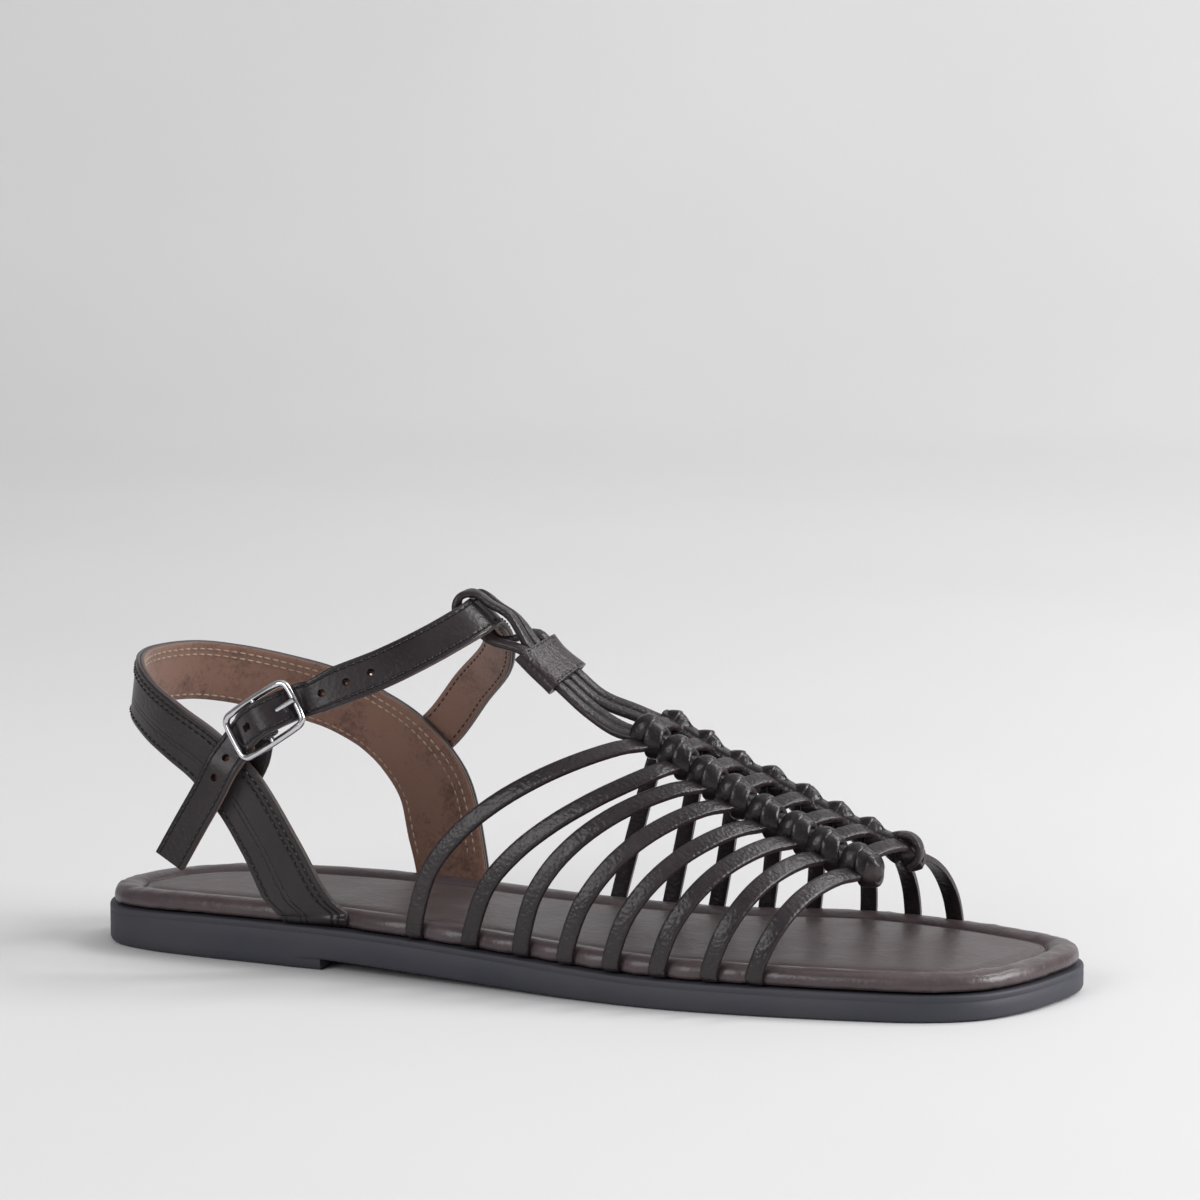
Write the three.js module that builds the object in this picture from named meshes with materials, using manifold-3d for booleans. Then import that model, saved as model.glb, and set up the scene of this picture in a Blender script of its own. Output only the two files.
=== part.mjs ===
// A flat strappy huarache sandal for the right foot: rubber sole, wrapped footbed with a padded
// sock, a knotted front of narrow straps with an instep T, and a buckled ankle strap.
// Millimetres. +X to the toe, +Y to the medial side, +Z up. Ground at z = 0, origin midway.
import * as THREE from 'three';
import { mergeVertices } from 'three/addons/utils/BufferGeometryUtils.js';
import Module from 'manifold-3d';

const wasm = await Module();
wasm.setup();

// Sole and footbed
const soleLength = 255;
const soleWidth = 84.3;
const rubberHeight = 10.8;
const heelBlockLength = 70;
const heelStep = 2.9;
const toeSpring = 0.6;
const soleBevel = 0.9;
const footbedLedge = 1.2;
const rimWidth = 8.6;
const rimHeight = 4.9;
const boardThickness = 1.4;
const sockThickness = 2.3;
const sockPadding = 4;

// Front straps, knotted columns and thongs
const crownHeight = 63.4;
const strapWidth = 4.3;
const strapThickness = 1.8;
const strapDrop = 1.2;
const archStart = 3.4;
const nearColumnAcross = -5;
const columnSpacing = 14.6;
const columnSpread = 3.6;
const wrapRadius = 3.9;
const grooveRadius = 3.1;
const wrapsPerStrap = 2;
const thongWidth = 3.3;
const thongThickness = 1.9;
const keeperWall = 1.2;
const tuckDepth = 7.4;

// Quarter and ankle strap
const heelStrapHeight = 67;
const heelStrapWidth = 15.5;
const quarterWall = 2.2;
const ankleHeight = 88;
const ankleWidth = 9.9;
const buckledShare = 0.88;
const ankleThickness = 2.2;
const holeDiameter = 2;
const holePitch = 6.7;

// Buckle
const buckleLength = 21.8;
const buckleWire = 2;
const buckleDepth = 1.8;
const buckleCorner = 3.2;
const buckleBow = 0.6;
const barRadius = 0.7;
const prongRadius = 0.65;
const chapeThickness = 1.3;
const chapeWidth = 8.8;

// Clearance between pieces that touch on the real shoe
const gap = 0.3;

const leather = { color: 0x43383a, roughness: 0.5, metalness: 0 };
const rubber = { color: 0x3a3c42, roughness: 0.7, metalness: 0 };
const padding = { color: 0x54464a, roughness: 0.45, metalness: 0 };
const chrome = { color: 0xc9c9cc, roughness: 0.15, metalness: 1 };

// Outline of the rubber from the heel along the lateral side to the toe and back.
// along is a share of the length from the heel, across a share of half the width.
const outlineRows = [
  { along: 0, across: -0.101 },
  { along: 0.01, across: -0.338 },
  { along: 0.03, across: -0.492 },
  { along: 0.071, across: -0.599 },
  { along: 0.122, across: -0.654 },
  { along: 0.22, across: -0.708 },
  { along: 0.341, across: -0.786 },
  { along: 0.459, across: -0.865 },
  { along: 0.561, across: -0.955 },
  { along: 0.651, across: -1 },
  { along: 0.741, across: -0.965 },
  { along: 0.831, across: -0.884 },
  { along: 0.902, across: -0.777 },
  { along: 0.949, across: -0.6 },
  { along: 0.978, across: -0.32 },
  { along: 0.994, across: 0.018 },
  { along: 1, across: 0.279 },
  { along: 0.994, across: 0.492 },
  { along: 0.973, across: 0.67 },
  { along: 0.933, across: 0.801 },
  { along: 0.882, across: 0.907 },
  { along: 0.816, across: 0.985 },
  { along: 0.75, across: 1 },
  { along: 0.686, across: 0.915 },
  { along: 0.627, across: 0.79 },
  { along: 0.561, across: 0.699 },
  { along: 0.459, across: 0.635 },
  { along: 0.341, across: 0.64 },
  { along: 0.22, across: 0.66 },
  { along: 0.122, across: 0.61 },
  { along: 0.059, across: 0.48 },
  { along: 0.02, across: 0.255 },
];
const toeRow = 16;

// Top of the rubber as a share of rubberHeight, underside of the arch as a share of heelStep
// and underside of the toe as a share of toeSpring.
const heightRows = [
  { along: 0, top: 0.907, arch: 1, toe: 0 },
  { along: 0.15, top: 1, arch: 1, toe: 0 },
  { along: 0.26, top: 1.009, arch: 1, toe: 0 },
  { along: 0.34, top: 0.975, arch: 0.8, toe: 0 },
  { along: 0.42, top: 0.889, arch: 0.52, toe: 0 },
  { along: 0.55, top: 0.741, arch: 0.12, toe: 0 },
  { along: 0.62, top: 0.675, arch: 0, toe: 0 },
  { along: 0.8, top: 0.635, arch: 0, toe: 0 },
  { along: 0.87, top: 0.62, arch: 0, toe: 0 },
  { along: 0.914, top: 0.61, arch: 0, toe: 0.2 },
  { along: 0.95, top: 0.61, arch: 0, toe: 0.5 },
  { along: 1, top: 0.63, arch: 0, toe: 1 },
];

// Section of the padded rim: inward as a share of rimWidth, rise as a share of rimHeight.
const rimRows = [
  { inward: 0, rise: 0.26 },
  { inward: 0.01, rise: 0.56 },
  { inward: 0.14, rise: 0.88 },
  { inward: 0.42, rise: 1 },
  { inward: 0.7, rise: 0.91 },
  { inward: 0.89, rise: 0.7 },
];

// One row for each front strap. lateral and medial are where it leaves the footbed, near and far
// where it crosses the two columns, all as shares of the length; the ups are shares of
// crownHeight. sweep and hook bend the strap forward or back between footbed and column.
const strapRows = [
  {
    lateral: 0.38, near: 0.583, nearUp: 0.953, far: 0.59, farUp: 0.953,
    medial: 0.5, sweep: -0.15, hook: -0.64,
  },
  {
    lateral: 0.442, near: 0.613, nearUp: 0.877, far: 0.623, farUp: 0.878,
    medial: 0.554, sweep: 0.22, hook: -0.85,
  },
  {
    lateral: 0.499, near: 0.644, nearUp: 0.806, far: 0.656, farUp: 0.808,
    medial: 0.6, sweep: -0.3, hook: -0.4,
  },
  {
    lateral: 0.548, near: 0.673, nearUp: 0.74, far: 0.689, farUp: 0.758,
    medial: 0.648, sweep: -0.21, hook: -0.2,
  },
  {
    lateral: 0.597, near: 0.705, nearUp: 0.669, far: 0.724, farUp: 0.691,
    medial: 0.692, sweep: -0.18, hook: -0.2,
  },
  {
    lateral: 0.646, near: 0.738, nearUp: 0.615, far: 0.758, farUp: 0.629,
    medial: 0.747, sweep: -0.21, hook: 0,
  },
  {
    lateral: 0.698, near: 0.767, nearUp: 0.562, far: 0.789, farUp: 0.578,
    medial: 0.794, sweep: -0.14, hook: 0.18,
  },
  {
    lateral: 0.742, near: 0.803, nearUp: 0.508, far: 0.824, farUp: 0.53,
    medial: 0.84, sweep: -0.14, hook: 0.31,
  },
];
const archShapes = { lateral: { across: 0.8, up: 0.8 }, medial: { across: 1.25, up: 0.95 } };
const archLean = 0.5;

// Centre line of the four thongs from the columns up to the ankle strap. up is a share of
// ankleHeight, and spread parts the two pairs.
const instepRows = [
  { along: 0.553, across: 0.008, up: 0.715, spread: 1.5 },
  { along: 0.518, across: 0.001, up: 0.76, spread: 1.05 },
  { along: 0.489, across: -0.011, up: 0.828, spread: 1 },
  { along: 0.468, across: -0.02, up: 0.877, spread: 1 },
  { along: 0.451, across: -0.025, up: 0.928, spread: 1 },
];
const instepTilt = THREE.MathUtils.degToRad(18);

// Centre line of the quarter from the lateral leg round the heel to the medial leg. up is a
// share of heelStrapHeight and width a share of heelStrapWidth.
const quarterRows = [
  { along: 0.252, across: -0.742, up: 0.27, width: 1.17, level: 1 },
  { along: 0.225, across: -0.765, up: 0.46, width: 1.02, level: 0.4 },
  { along: 0.192, across: -0.775, up: 0.655, width: 0.95 },
  { along: 0.155, across: -0.76, up: 0.785, width: 0.93 },
  { along: 0.117, across: -0.711, up: 0.866, width: 0.92 },
  { along: 0.082, across: -0.599, up: 0.928, width: 0.93 },
  { along: 0.051, across: -0.416, up: 0.985, width: 0.97 },
  { along: 0.03, across: -0.03, up: 1, width: 1 },
  { along: 0.049, across: 0.35, up: 0.997, width: 1 },
  { along: 0.08, across: 0.52, up: 0.975, width: 1 },
  { along: 0.129, across: 0.65, up: 0.93, width: 1.03 },
  { along: 0.18, across: 0.7, up: 0.881, width: 1.06 },
  { along: 0.225, across: 0.71, up: 0.806, width: 1.1 },
  { along: 0.261, across: 0.715, up: 0.709, width: 1.23 },
  { along: 0.292, across: 0.712, up: 0.56, width: 1.35 },
  { along: 0.306, across: 0.69, up: 0.39, width: 1.38 },
];
const lateralLegAlong = 0.267;
const lateralLegWidth = 1.17;
const medialLegAlong = 0.32;
const medialLegWidth = 1.34;
const heelAxisAlong = 0.19;
const heelStrapLean = 0.12;

// Centre line of the ankle strap from its sewn end outside the medial leg to the buckle, then
// of its tail. up is a share of ankleHeight.
const ankleRows = [
  { along: 0.267, across: 0.775, up: 0.523, width: 1.16 },
  { along: 0.299, across: 0.775, up: 0.604, width: 1.16 },
  { along: 0.336, across: 0.68, up: 0.726, width: 1.14 },
  { along: 0.383, across: 0.433, up: 0.852, width: 1.06 },
  { along: 0.4, across: 0.208, up: 0.955 },
  { along: 0.404, across: -0.03, up: 1.008 },
  { along: 0.402, across: -0.235, up: 0.993 },
  { along: 0.372, across: -0.457, up: 0.932 },
  { along: 0.336, across: -0.623, up: 0.874 },
  { along: 0.298, across: -0.765, up: 0.826 },
];
const tailRows = [
  { along: 0.182, across: -0.885, up: 0.585 },
  { along: 0.168, across: -0.89, up: 0.51 },
  { along: 0.149, across: -0.905, up: 0.415 },
  { along: 0.128, across: -0.93, up: 0.305 },
];
const ankleAxis = { along: 0.33, across: -0.03, up: 0.727 };
const holePlaces = [-4.8, -3.82, -2.85, 0.5, 2.86, 3.66];

const buckleSeat = { along: 0.2288, across: -0.908, up: 0.726 };
const bucklePitch = THREE.MathUtils.degToRad(33);
const buckleLean = 0.14;

const stationSteps = { strap: 1, thong: 2, quarter: 2, ankle: 2 };
const sideSteps = 22;
const capSteps = 2;
const archSteps = 7;

function place(row, height = 1) {
  return new THREE.Vector3((row.along - 0.5) * soleLength, row.across * soleWidth / 2, row.up * height);
}

function alongOf(x) {
  return x / soleLength + 0.5;
}

// Smooth value of one column of a table, with no overshoot between its rows
function blend(rows, key, along) {
  const last = rows.length - 1;
  const slope = rows.slice(1).map((row, i) => (row[key] - rows[i][key]) / (row.along - rows[i].along));
  const tangent = (i) => {
    if (i === 0 || i === last || slope[i - 1] * slope[i] <= 0) return 0;
    return 2 * slope[i - 1] * slope[i] / (slope[i - 1] + slope[i]);
  };
  const share = THREE.MathUtils.clamp(along, 0, 1);
  let i = 0;
  while (i < last - 1 && share > rows[i + 1].along) i += 1;
  const step = rows[i + 1].along - rows[i].along;
  const t = (share - rows[i].along) / step;
  const start = rows[i][key] * (1 + 2 * t) * (1 - t) ** 2 + rows[i + 1][key] * t * t * (3 - 2 * t);
  return start + step * (tangent(i) * t * (1 - t) ** 2 - tangent(i + 1) * t * t * (1 - t));
}

const rubberTop = (x) => rubberHeight * blend(heightRows, 'top', alongOf(x));
const rubberBottom = (x) => heelStep * blend(heightRows, 'arch', alongOf(x))
  + toeSpring * blend(heightRows, 'toe', alongOf(x));

// A closed geometry from loose triangles, turned so that its faces point out
function closedGeometry(triangles) {
  const volume = triangles.reduce((sum, [a, b, c]) => sum + a.dot(b.clone().cross(c)), 0);
  const ordered = volume < 0 ? triangles.map(([a, b, c]) => [a, c, b]) : triangles;
  const geometry = new THREE.BufferGeometry().setFromPoints(ordered.flat());
  return mergeVertices(geometry, 1e-4);
}

function toSolid(geometry) {
  const plain = geometry.clone();
  for (const name of ['normal', 'uv']) plain.deleteAttribute(name);
  const merged = mergeVertices(plain, 1e-4);
  const vertProperties = new Float32Array(merged.attributes.position.array);
  const triVerts = new Uint32Array(merged.index.array);
  return new wasm.Manifold(new wasm.Mesh({ numProp: 3, vertProperties, triVerts }));
}

function toGeometry(solid) {
  const mesh = solid.getMesh();
  const geometry = new THREE.BufferGeometry();
  geometry.setAttribute('position', new THREE.BufferAttribute(mesh.vertProperties, 3));
  geometry.setIndex(new THREE.BufferAttribute(mesh.triVerts, 1));
  return geometry;
}

// The main body of a cut, without the thin offcuts beside it
function largestBody(solid) {
  return solid.decompose().reduce((best, body) => (body.volume() > best.volume() ? body : best));
}

const outline = new THREE.CatmullRomCurve3(
  outlineRows.map((row) => place({ ...row, up: 0 })),
  true,
  'centripetal',
);
const toeShare = toeRow / outlineRows.length;

// Point of the sole's outline, moved inwards by inset
function outlinePoint(share, inset) {
  const tangent = outline.getTangent(share);
  const inward = new THREE.Vector3(-tangent.y, tangent.x, 0);
  return outline.getPoint(share).addScaledVector(inward, inset);
}

function soleRing(inset, heightAt) {
  const shares = [];
  for (let i = 0; i < sideSteps; i += 1) shares.push(toeShare * i / sideSteps);
  for (let i = 0; i < sideSteps; i += 1) shares.push(toeShare + (1 - toeShare) * i / sideSteps);
  return shares.map((share) => {
    const point = outlinePoint(share, inset);
    point.z = heightAt(point.x);
    return point;
  });
}

// Triangles that close a ring of the sole with rungs from its lateral to its medial side
function soleCap(ring, heightAt, facesUp) {
  const rungs = [];
  for (let i = 0; i <= sideSteps; i += 1) {
    const from = ring[i];
    const to = ring[(2 * sideSteps - i) % (2 * sideSteps)];
    const inner = [];
    for (let j = 1; j <= capSteps; j += 1) {
      const point = from.clone().lerp(to, j / (capSteps + 1));
      point.z = heightAt(point.x);
      inner.push(point);
    }
    rungs.push(i === 0 || i === sideSteps ? Array(capSteps + 2).fill(from) : [from, ...inner, to]);
  }
  const triangles = [];
  for (let i = 0; i < sideSteps; i += 1) {
    for (let j = 0; j <= capSteps; j += 1) {
      const [a, b, c, d] = [rungs[i][j], rungs[i + 1][j], rungs[i + 1][j + 1], rungs[i][j + 1]];
      if (i < sideSteps - 1) triangles.push(facesUp ? [a, b, c] : [a, c, b]);
      if (i > 0) triangles.push(facesUp ? [a, c, d] : [a, d, c]);
    }
  }
  return triangles.filter(([a, b, c]) => a !== b && b !== c && a !== c);
}

// A solid of stacked rings that follow the sole, each row with its inset and height
function soleStack(rows) {
  const rings = rows.map((row) => soleRing(row.inset, row.height));
  const triangles = [];
  for (let j = 0; j < rings.length - 1; j += 1) {
    for (let i = 0; i < rings[j].length; i += 1) {
      const next = (i + 1) % rings[j].length;
      const [a, b, c, d] = [rings[j][i], rings[j][next], rings[j + 1][next], rings[j + 1][i]];
      triangles.push([a, b, c], [a, c, d]);
    }
  }
  const last = rows.length - 1;
  triangles.push(...soleCap(rings[0], rows[0].height, false));
  triangles.push(...soleCap(rings[last], rows[last].height, true));
  return closedGeometry(triangles);
}

// Point beside the sole's edge: inset from the rubber's outline and rise above the rubber
function edgePoint(side, along, inset, rise) {
  const from = side < 0 ? 0 : 1;
  let low = 0;
  let high = 1;
  for (let i = 0; i < 30; i += 1) {
    const middle = (low + high) / 2;
    const point = outlinePoint(from + (toeShare - from) * middle, inset);
    if (alongOf(point.x) < along) low = middle;
    else high = middle;
  }
  const point = outlinePoint(from + (toeShare - from) * low, inset);
  point.z = rubberTop(point.x) + rise;
  return point;
}

// Stations of a strap end: it runs out between footbed and rubber and turns up the rim
function tuckStations(side, along, thickness, width = 1) {
  const flat = gap + thickness / 2;
  const out = new THREE.Vector3(0, side, 0);
  const down = new THREE.Vector3(0, 0, -1);
  const corner = out.clone().add(down).normalize();
  const rim = footbedLedge + gap - thickness / 4;
  const bend = thickness * 0.85;
  const rows = [
    { inset: tuckDepth, rise: flat, out: down },
    { inset: rim + bend, rise: flat, out: down },
    { inset: rim + bend * 0.3, rise: flat + bend * 0.3, out: corner },
    { inset: rim, rise: flat + bend, out },
  ];
  return rows.map((row) => {
    const point = edgePoint(side, along, row.inset, row.rise);
    return { point, out: row.out, width, level: 1 };
  });
}

// Frames along a strap: a smooth line through its stations with its face turned to each out.
// Where level is 1 the section stays lengthways to the sole, whichever way the strap leans.
function strapFrames(stations, steps, closed = false) {
  const curve = new THREE.CatmullRomCurve3(stations.map((station) => station.point), closed, 'centripetal');
  const spans = closed ? stations.length : stations.length - 1;
  const count = spans * steps;
  const frames = [];
  for (let i = 0; i <= (closed ? count - 1 : count); i += 1) {
    const share = i / count;
    const index = Math.min(Math.floor(i / steps), spans - 1);
    const from = stations[index];
    const to = stations[(index + 1) % stations.length];
    const t = i / steps - index;
    const along = curve.getTangent(share);
    const face = from.out.clone().lerp(to.out, t);
    face.addScaledVector(along, -face.dot(along)).normalize();
    const side = along.clone().cross(face);
    const level = THREE.MathUtils.lerp(from.level ?? 0, to.level ?? 0, t);
    if (level > 0) {
      const lengthways = new THREE.Vector3(1, 0, 0).addScaledVector(face, -face.x);
      side.lerp(lengthways.normalize(), level);
    }
    const width = THREE.MathUtils.lerp(from.width ?? 1, to.width ?? 1, t);
    frames.push({ point: curve.getPoint(share), along, face, side, width });
  }
  return frames;
}

// Corners of a strap's section: side and face as shares of half its width and thickness
const roundedSection = [[-1, 0], [-0.72, 1], [0.72, 1], [1, 0], [0.72, -1], [-0.72, -1]];
const flatSection = [[-1, 1], [1, 1], [1, -1], [-1, -1]];
const wireSection = Array.from({ length: 8 }, (_, i) => {
  const angle = (i + 0.5) * Math.PI / 4;
  return [Math.cos(angle), Math.sin(angle)];
});

// A strap with one ring of its section at each frame, ends closed unless it runs round
function strapGeometry(frames, section, width, thickness, closed = false) {
  const rings = frames.map((frame) => section.map(([side, face]) => frame.point.clone()
    .addScaledVector(frame.side, side * frame.width * width / 2)
    .addScaledVector(frame.face, face * thickness / 2)));
  const triangles = [];
  const count = closed ? rings.length : rings.length - 1;
  for (let j = 0; j < count; j += 1) {
    const ahead = rings[(j + 1) % rings.length];
    for (let i = 0; i < section.length; i += 1) {
      const next = (i + 1) % section.length;
      triangles.push([rings[j][i], rings[j][next], ahead[next]], [rings[j][i], ahead[next], ahead[i]]);
    }
  }
  if (!closed) {
    const end = rings[rings.length - 1];
    for (let i = 1; i < section.length - 1; i += 1) {
      triangles.push([rings[0][0], rings[0][i + 1], rings[0][i]], [end[0], end[i], end[i + 1]]);
    }
  }
  return closedGeometry(triangles);
}

function grownStrap(frames, width, thickness) {
  const ends = [frames[0], frames[frames.length - 1]];
  const grown = frames.map((frame) => ({ ...frame, point: frame.point.clone() }));
  grown[0].point.addScaledVector(ends[0].along, -gap);
  grown[grown.length - 1].point.addScaledVector(ends[1].along, gap);
  return toSolid(strapGeometry(grown, flatSection, width + 2 * gap, thickness + 2 * gap));
}

// Outsole: a rubber unit with an open arch, a low heel block, a flat tread and a raised toe
function makeOutsole() {
  const top = rubberTop;
  const unit = toSolid(soleStack([
    { inset: soleBevel, height: rubberBottom },
    { inset: 0, height: (x) => rubberBottom(x) + soleBevel },
    { inset: 0, height: (x) => top(x) - soleBevel / 2 },
    { inset: soleBevel / 2, height: top },
  ]));
  const block = toSolid(soleStack([
    { inset: soleBevel * 1.4, height: () => 0 },
    { inset: 0, height: () => soleBevel * 1.4 },
    { inset: 0, height: () => heelStep + soleBevel * 2 },
  ]));
  const cutter = new THREE.BoxGeometry(2 * heelBlockLength, 2 * soleWidth, 4 * rubberHeight);
  cutter.translate(-soleLength / 2, 0, 0);
  return unit.add(block.intersect(toSolid(cutter)));
}

// Footbed: a board wrapped in padded leather, with a raised rim round a recess for the sock
const floorRise = gap + boardThickness;
const recessInset = footbedLedge + rimWidth * 0.9;

function makeFootbed(passing) {
  const level = (rise) => (x) => rubberTop(x) + rise;
  const rows = rimRows.map((row) => ({
    inset: footbedLedge + row.inward * rimWidth,
    height: level(row.rise * rimHeight),
  }));
  const board = toSolid(soleStack([
    { inset: footbedLedge + rimWidth * 0.08, height: level(gap) },
    ...rows,
    { inset: recessInset, height: level(floorRise) },
  ]));
  return largestBody(passing.reduce((solid, strap) => solid.subtract(strap), board));
}

function makeInsole() {
  const level = (rise) => (x) => rubberTop(x) + floorRise + gap + rise;
  return soleStack([
    { inset: recessInset + gap, height: level(0) },
    { inset: recessInset + gap, height: level(sockThickness * 0.45) },
    { inset: recessInset + gap + sockPadding * 0.25, height: level(sockThickness * 0.85) },
    { inset: recessInset + gap + sockPadding, height: level(sockThickness) },
  ]);
}

// Places on the two knotted columns
function columnPoint(column, row) {
  const share = strapRows.indexOf(row) / (strapRows.length - 1) - 0.5;
  const spread = columnSpread * share / 2;
  const middle = nearColumnAcross + columnSpacing / 2;
  const half = columnSpacing / 2 + spread;
  const along = column === 'near' ? row.near : row.far;
  const up = column === 'near' ? row.nearUp : row.farUp;
  const point = place({ along, across: 0, up }, crownHeight);
  point.y = column === 'near' ? middle - half : middle + half;
  return point;
}

function archOut(point, crown) {
  const level = crown.z * 0.35;
  return new THREE.Vector3(Math.max(point.z - level, 0) * archLean, point.y, point.z - level).normalize();
}

// Stations from the rim up to a column, without the column's own point
function archStations(side, along, crown, row) {
  const shape = side < 0 ? archShapes.lateral : archShapes.medial;
  const tuck = tuckStations(side, along, strapThickness);
  const base = edgePoint(side, along, footbedLedge + gap - strapThickness / 4, archStart);
  const stations = [];
  for (let i = 1; i < archSteps; i += 1) {
    const t = i / archSteps;
    const angle = t * Math.PI / 2;
    const bend = t * (1 - t) * (row.sweep + row.hook * (1 - 2 * t));
    const point = new THREE.Vector3(
      base.x + (crown.x - base.x) * (t + bend),
      crown.y + (base.y - crown.y) * Math.cos(angle) ** shape.across,
      base.z + (crown.z - base.z) * Math.sin(angle) ** shape.up,
    );
    stations.push({ point, out: archOut(point, crown) });
  }
  return [...tuck, ...stations];
}

function frontStrapFrames(row) {
  const near = columnPoint('near', row);
  const far = columnPoint('far', row);
  near.z -= strapDrop;
  far.z -= strapDrop;
  const crownOut = new THREE.Vector3(archLean, 0, 1).normalize();
  const lateral = archStations(-1, row.lateral, near, row);
  const medial = archStations(1, row.medial, far, { sweep: 0, hook: 0 }).reverse();
  const stations = [...lateral, { point: near, out: crownOut }, { point: far, out: crownOut }, ...medial];
  return strapFrames(stations, stationSteps.strap);
}

// One column: the core thongs under a row of wraps, two for each strap
function columnGeometry(column) {
  const points = strapRows.map((row) => columnPoint(column, row));
  const pitch = 1 / (points.length - 1);
  const curve = new THREE.CatmullRomCurve3(points, false, 'centripetal');
  const wraps = strapRows.length * wrapsPerStrap;
  const turn = pitch / wrapsPerStrap;
  const sides = 8;
  const rings = [];
  const addRing = (share, radius) => {
    const inside = THREE.MathUtils.clamp(share, 0, 1);
    const centre = curve.getPoint(inside);
    const along = curve.getTangent(inside);
    centre.addScaledVector(along, (share - inside) * curve.getLength());
    const axis = along.clone().lerp(new THREE.Vector3(1, 0, 0), 0.45).normalize();
    const across = new THREE.Vector3(0, 1, 0);
    const up = axis.clone().cross(across).normalize();
    rings.push(Array.from({ length: sides }, (_, i) => {
      const angle = 2 * Math.PI * i / sides;
      return centre.clone()
        .addScaledVector(across, radius * Math.cos(angle))
        .addScaledVector(up, radius * Math.sin(angle));
    }));
  };
  const start = -turn * wrapsPerStrap / 2;
  addRing(start, grooveRadius * 0.6);
  for (let wrap = 0; wrap < wraps; wrap += 1) {
    if (wrap > 0) addRing(start + wrap * turn, grooveRadius);
    addRing(start + (wrap + 0.28) * turn, wrapRadius);
    addRing(start + (wrap + 0.72) * turn, wrapRadius);
  }
  addRing(start + wraps * turn, grooveRadius * 0.6);
  const triangles = [];
  for (let j = 0; j < rings.length - 1; j += 1) {
    for (let i = 0; i < sides; i += 1) {
      const next = (i + 1) % sides;
      triangles.push([rings[j][i], rings[j][next], rings[j + 1][next]]);
      triangles.push([rings[j][i], rings[j + 1][next], rings[j + 1][i]]);
    }
  }
  const end = rings[rings.length - 1];
  for (let i = 1; i < sides - 1; i += 1) {
    triangles.push([rings[0][0], rings[0][i + 1], rings[0][i]], [end[0], end[i], end[i + 1]]);
  }
  return closedGeometry(triangles);
}

// Buckle axes: forward along the strap, down across it and out from the foot
const buckleCentre = place(buckleSeat, ankleHeight);
const buckleForward = new THREE.Vector3(Math.cos(bucklePitch), 0, Math.sin(bucklePitch));
const buckleOut = new THREE.Vector3(0, -1, buckleLean);
buckleOut.addScaledVector(buckleForward, -buckleOut.dot(buckleForward)).normalize();
const buckleAcross = buckleForward.clone().cross(buckleOut).normalize();

function bucklePoint(forward, across, out) {
  return buckleCentre.clone()
    .addScaledVector(buckleForward, forward)
    .addScaledVector(buckleAcross, across)
    .addScaledVector(buckleOut, out);
}

const buckleWidth = ankleWidth * buckledShare + 4 * gap + 2 * buckleWire;
const barReach = buckleLength / 2 - buckleWire / 2;
const sleeveRadius = barRadius + gap + chapeThickness;
const overBar = sleeveRadius + gap + ankleThickness / 2;
const underBar = -(buckleDepth / 2 + 2 * gap + ankleThickness * 0.9 + buckleBow);

function ankleOut(point) {
  return point.clone().sub(place(ankleAxis, ankleHeight)).normalize();
}

function ankleFrames() {
  const rows = ankleRows.map((row) => {
    const point = place(row, ankleHeight);
    return { point, out: ankleOut(point), width: row.width };
  });
  rows[0].out = new THREE.Vector3(0, 1, 0);
  rows[1].out = new THREE.Vector3(0, 1, 0);
  const last = rows.length - 1;
  [0.9, 0.6, 0.3].forEach((share, i) => rows[last - i].out.lerp(buckleOut, share));
  const threaded = [
    { point: bucklePoint(barReach + ankleThickness * 1.8, ankleThickness * 0.5, underBar), out: buckleOut },
    { point: bucklePoint(barReach, 0, underBar), out: buckleOut },
    { point: bucklePoint(barReach * 0.45, 0, overBar * 0.42), out: buckleOut },
    { point: bucklePoint(0, 0, overBar), out: buckleOut },
    { point: bucklePoint(-barReach * 0.45, 0, overBar * 0.42), out: buckleOut },
    { point: bucklePoint(-barReach, 0, underBar), out: buckleOut },
  ].map((station) => ({ ...station, width: buckledShare }));
  const tail = tailRows.map((row) => ({
    point: place(row, ankleHeight),
    out: new THREE.Vector3(-0.1, -1, 0.05),
    width: buckledShare,
  }));
  const frames = strapFrames([...rows, ...threaded, ...tail], stationSteps.ankle);
  frames[0].width = 0.55;
  return frames;
}

// Prong: hooked round the centre bar, through the strap, its tip on the front bar
function prongFrames(grow = 0) {
  const hook = barRadius + gap + prongRadius;
  const rest = buckleDepth / 2 + gap + prongRadius - buckleBow;
  const stations = [];
  for (let angle = -225; angle <= 45; angle += 45) {
    const turn = THREE.MathUtils.degToRad(angle);
    const point = bucklePoint(hook * Math.sin(turn), 0, hook * Math.cos(turn));
    stations.push({ point, out: buckleAcross });
  }
  stations.push({ point: bucklePoint(hook * 2.2, 0, hook * 0.95), out: buckleAcross });
  stations.push({ point: bucklePoint(barReach + buckleWire / 2 + grow, 0, rest), out: buckleAcross });
  return strapFrames(stations, 1);
}

function holeCutter(frame) {
  const hole = new THREE.CylinderGeometry(holeDiameter / 2, holeDiameter / 2, ankleThickness * 3, 8);
  const turn = new THREE.Quaternion().setFromUnitVectors(new THREE.Vector3(0, 1, 0), frame.face);
  hole.applyQuaternion(turn);
  hole.translate(frame.point.x, frame.point.y, frame.point.z);
  return toSolid(hole);
}

// The frame that lies a given way along a strap
function frameAt(frames, length) {
  let passed = 0;
  for (let i = 1; i < frames.length; i += 1) {
    const step = frames[i].point.distanceTo(frames[i - 1].point);
    if (passed + step >= length) {
      const point = frames[i - 1].point.clone().lerp(frames[i].point, (length - passed) / step);
      return { ...frames[i], point };
    }
    passed += step;
  }
  return frames[frames.length - 1];
}

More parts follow.
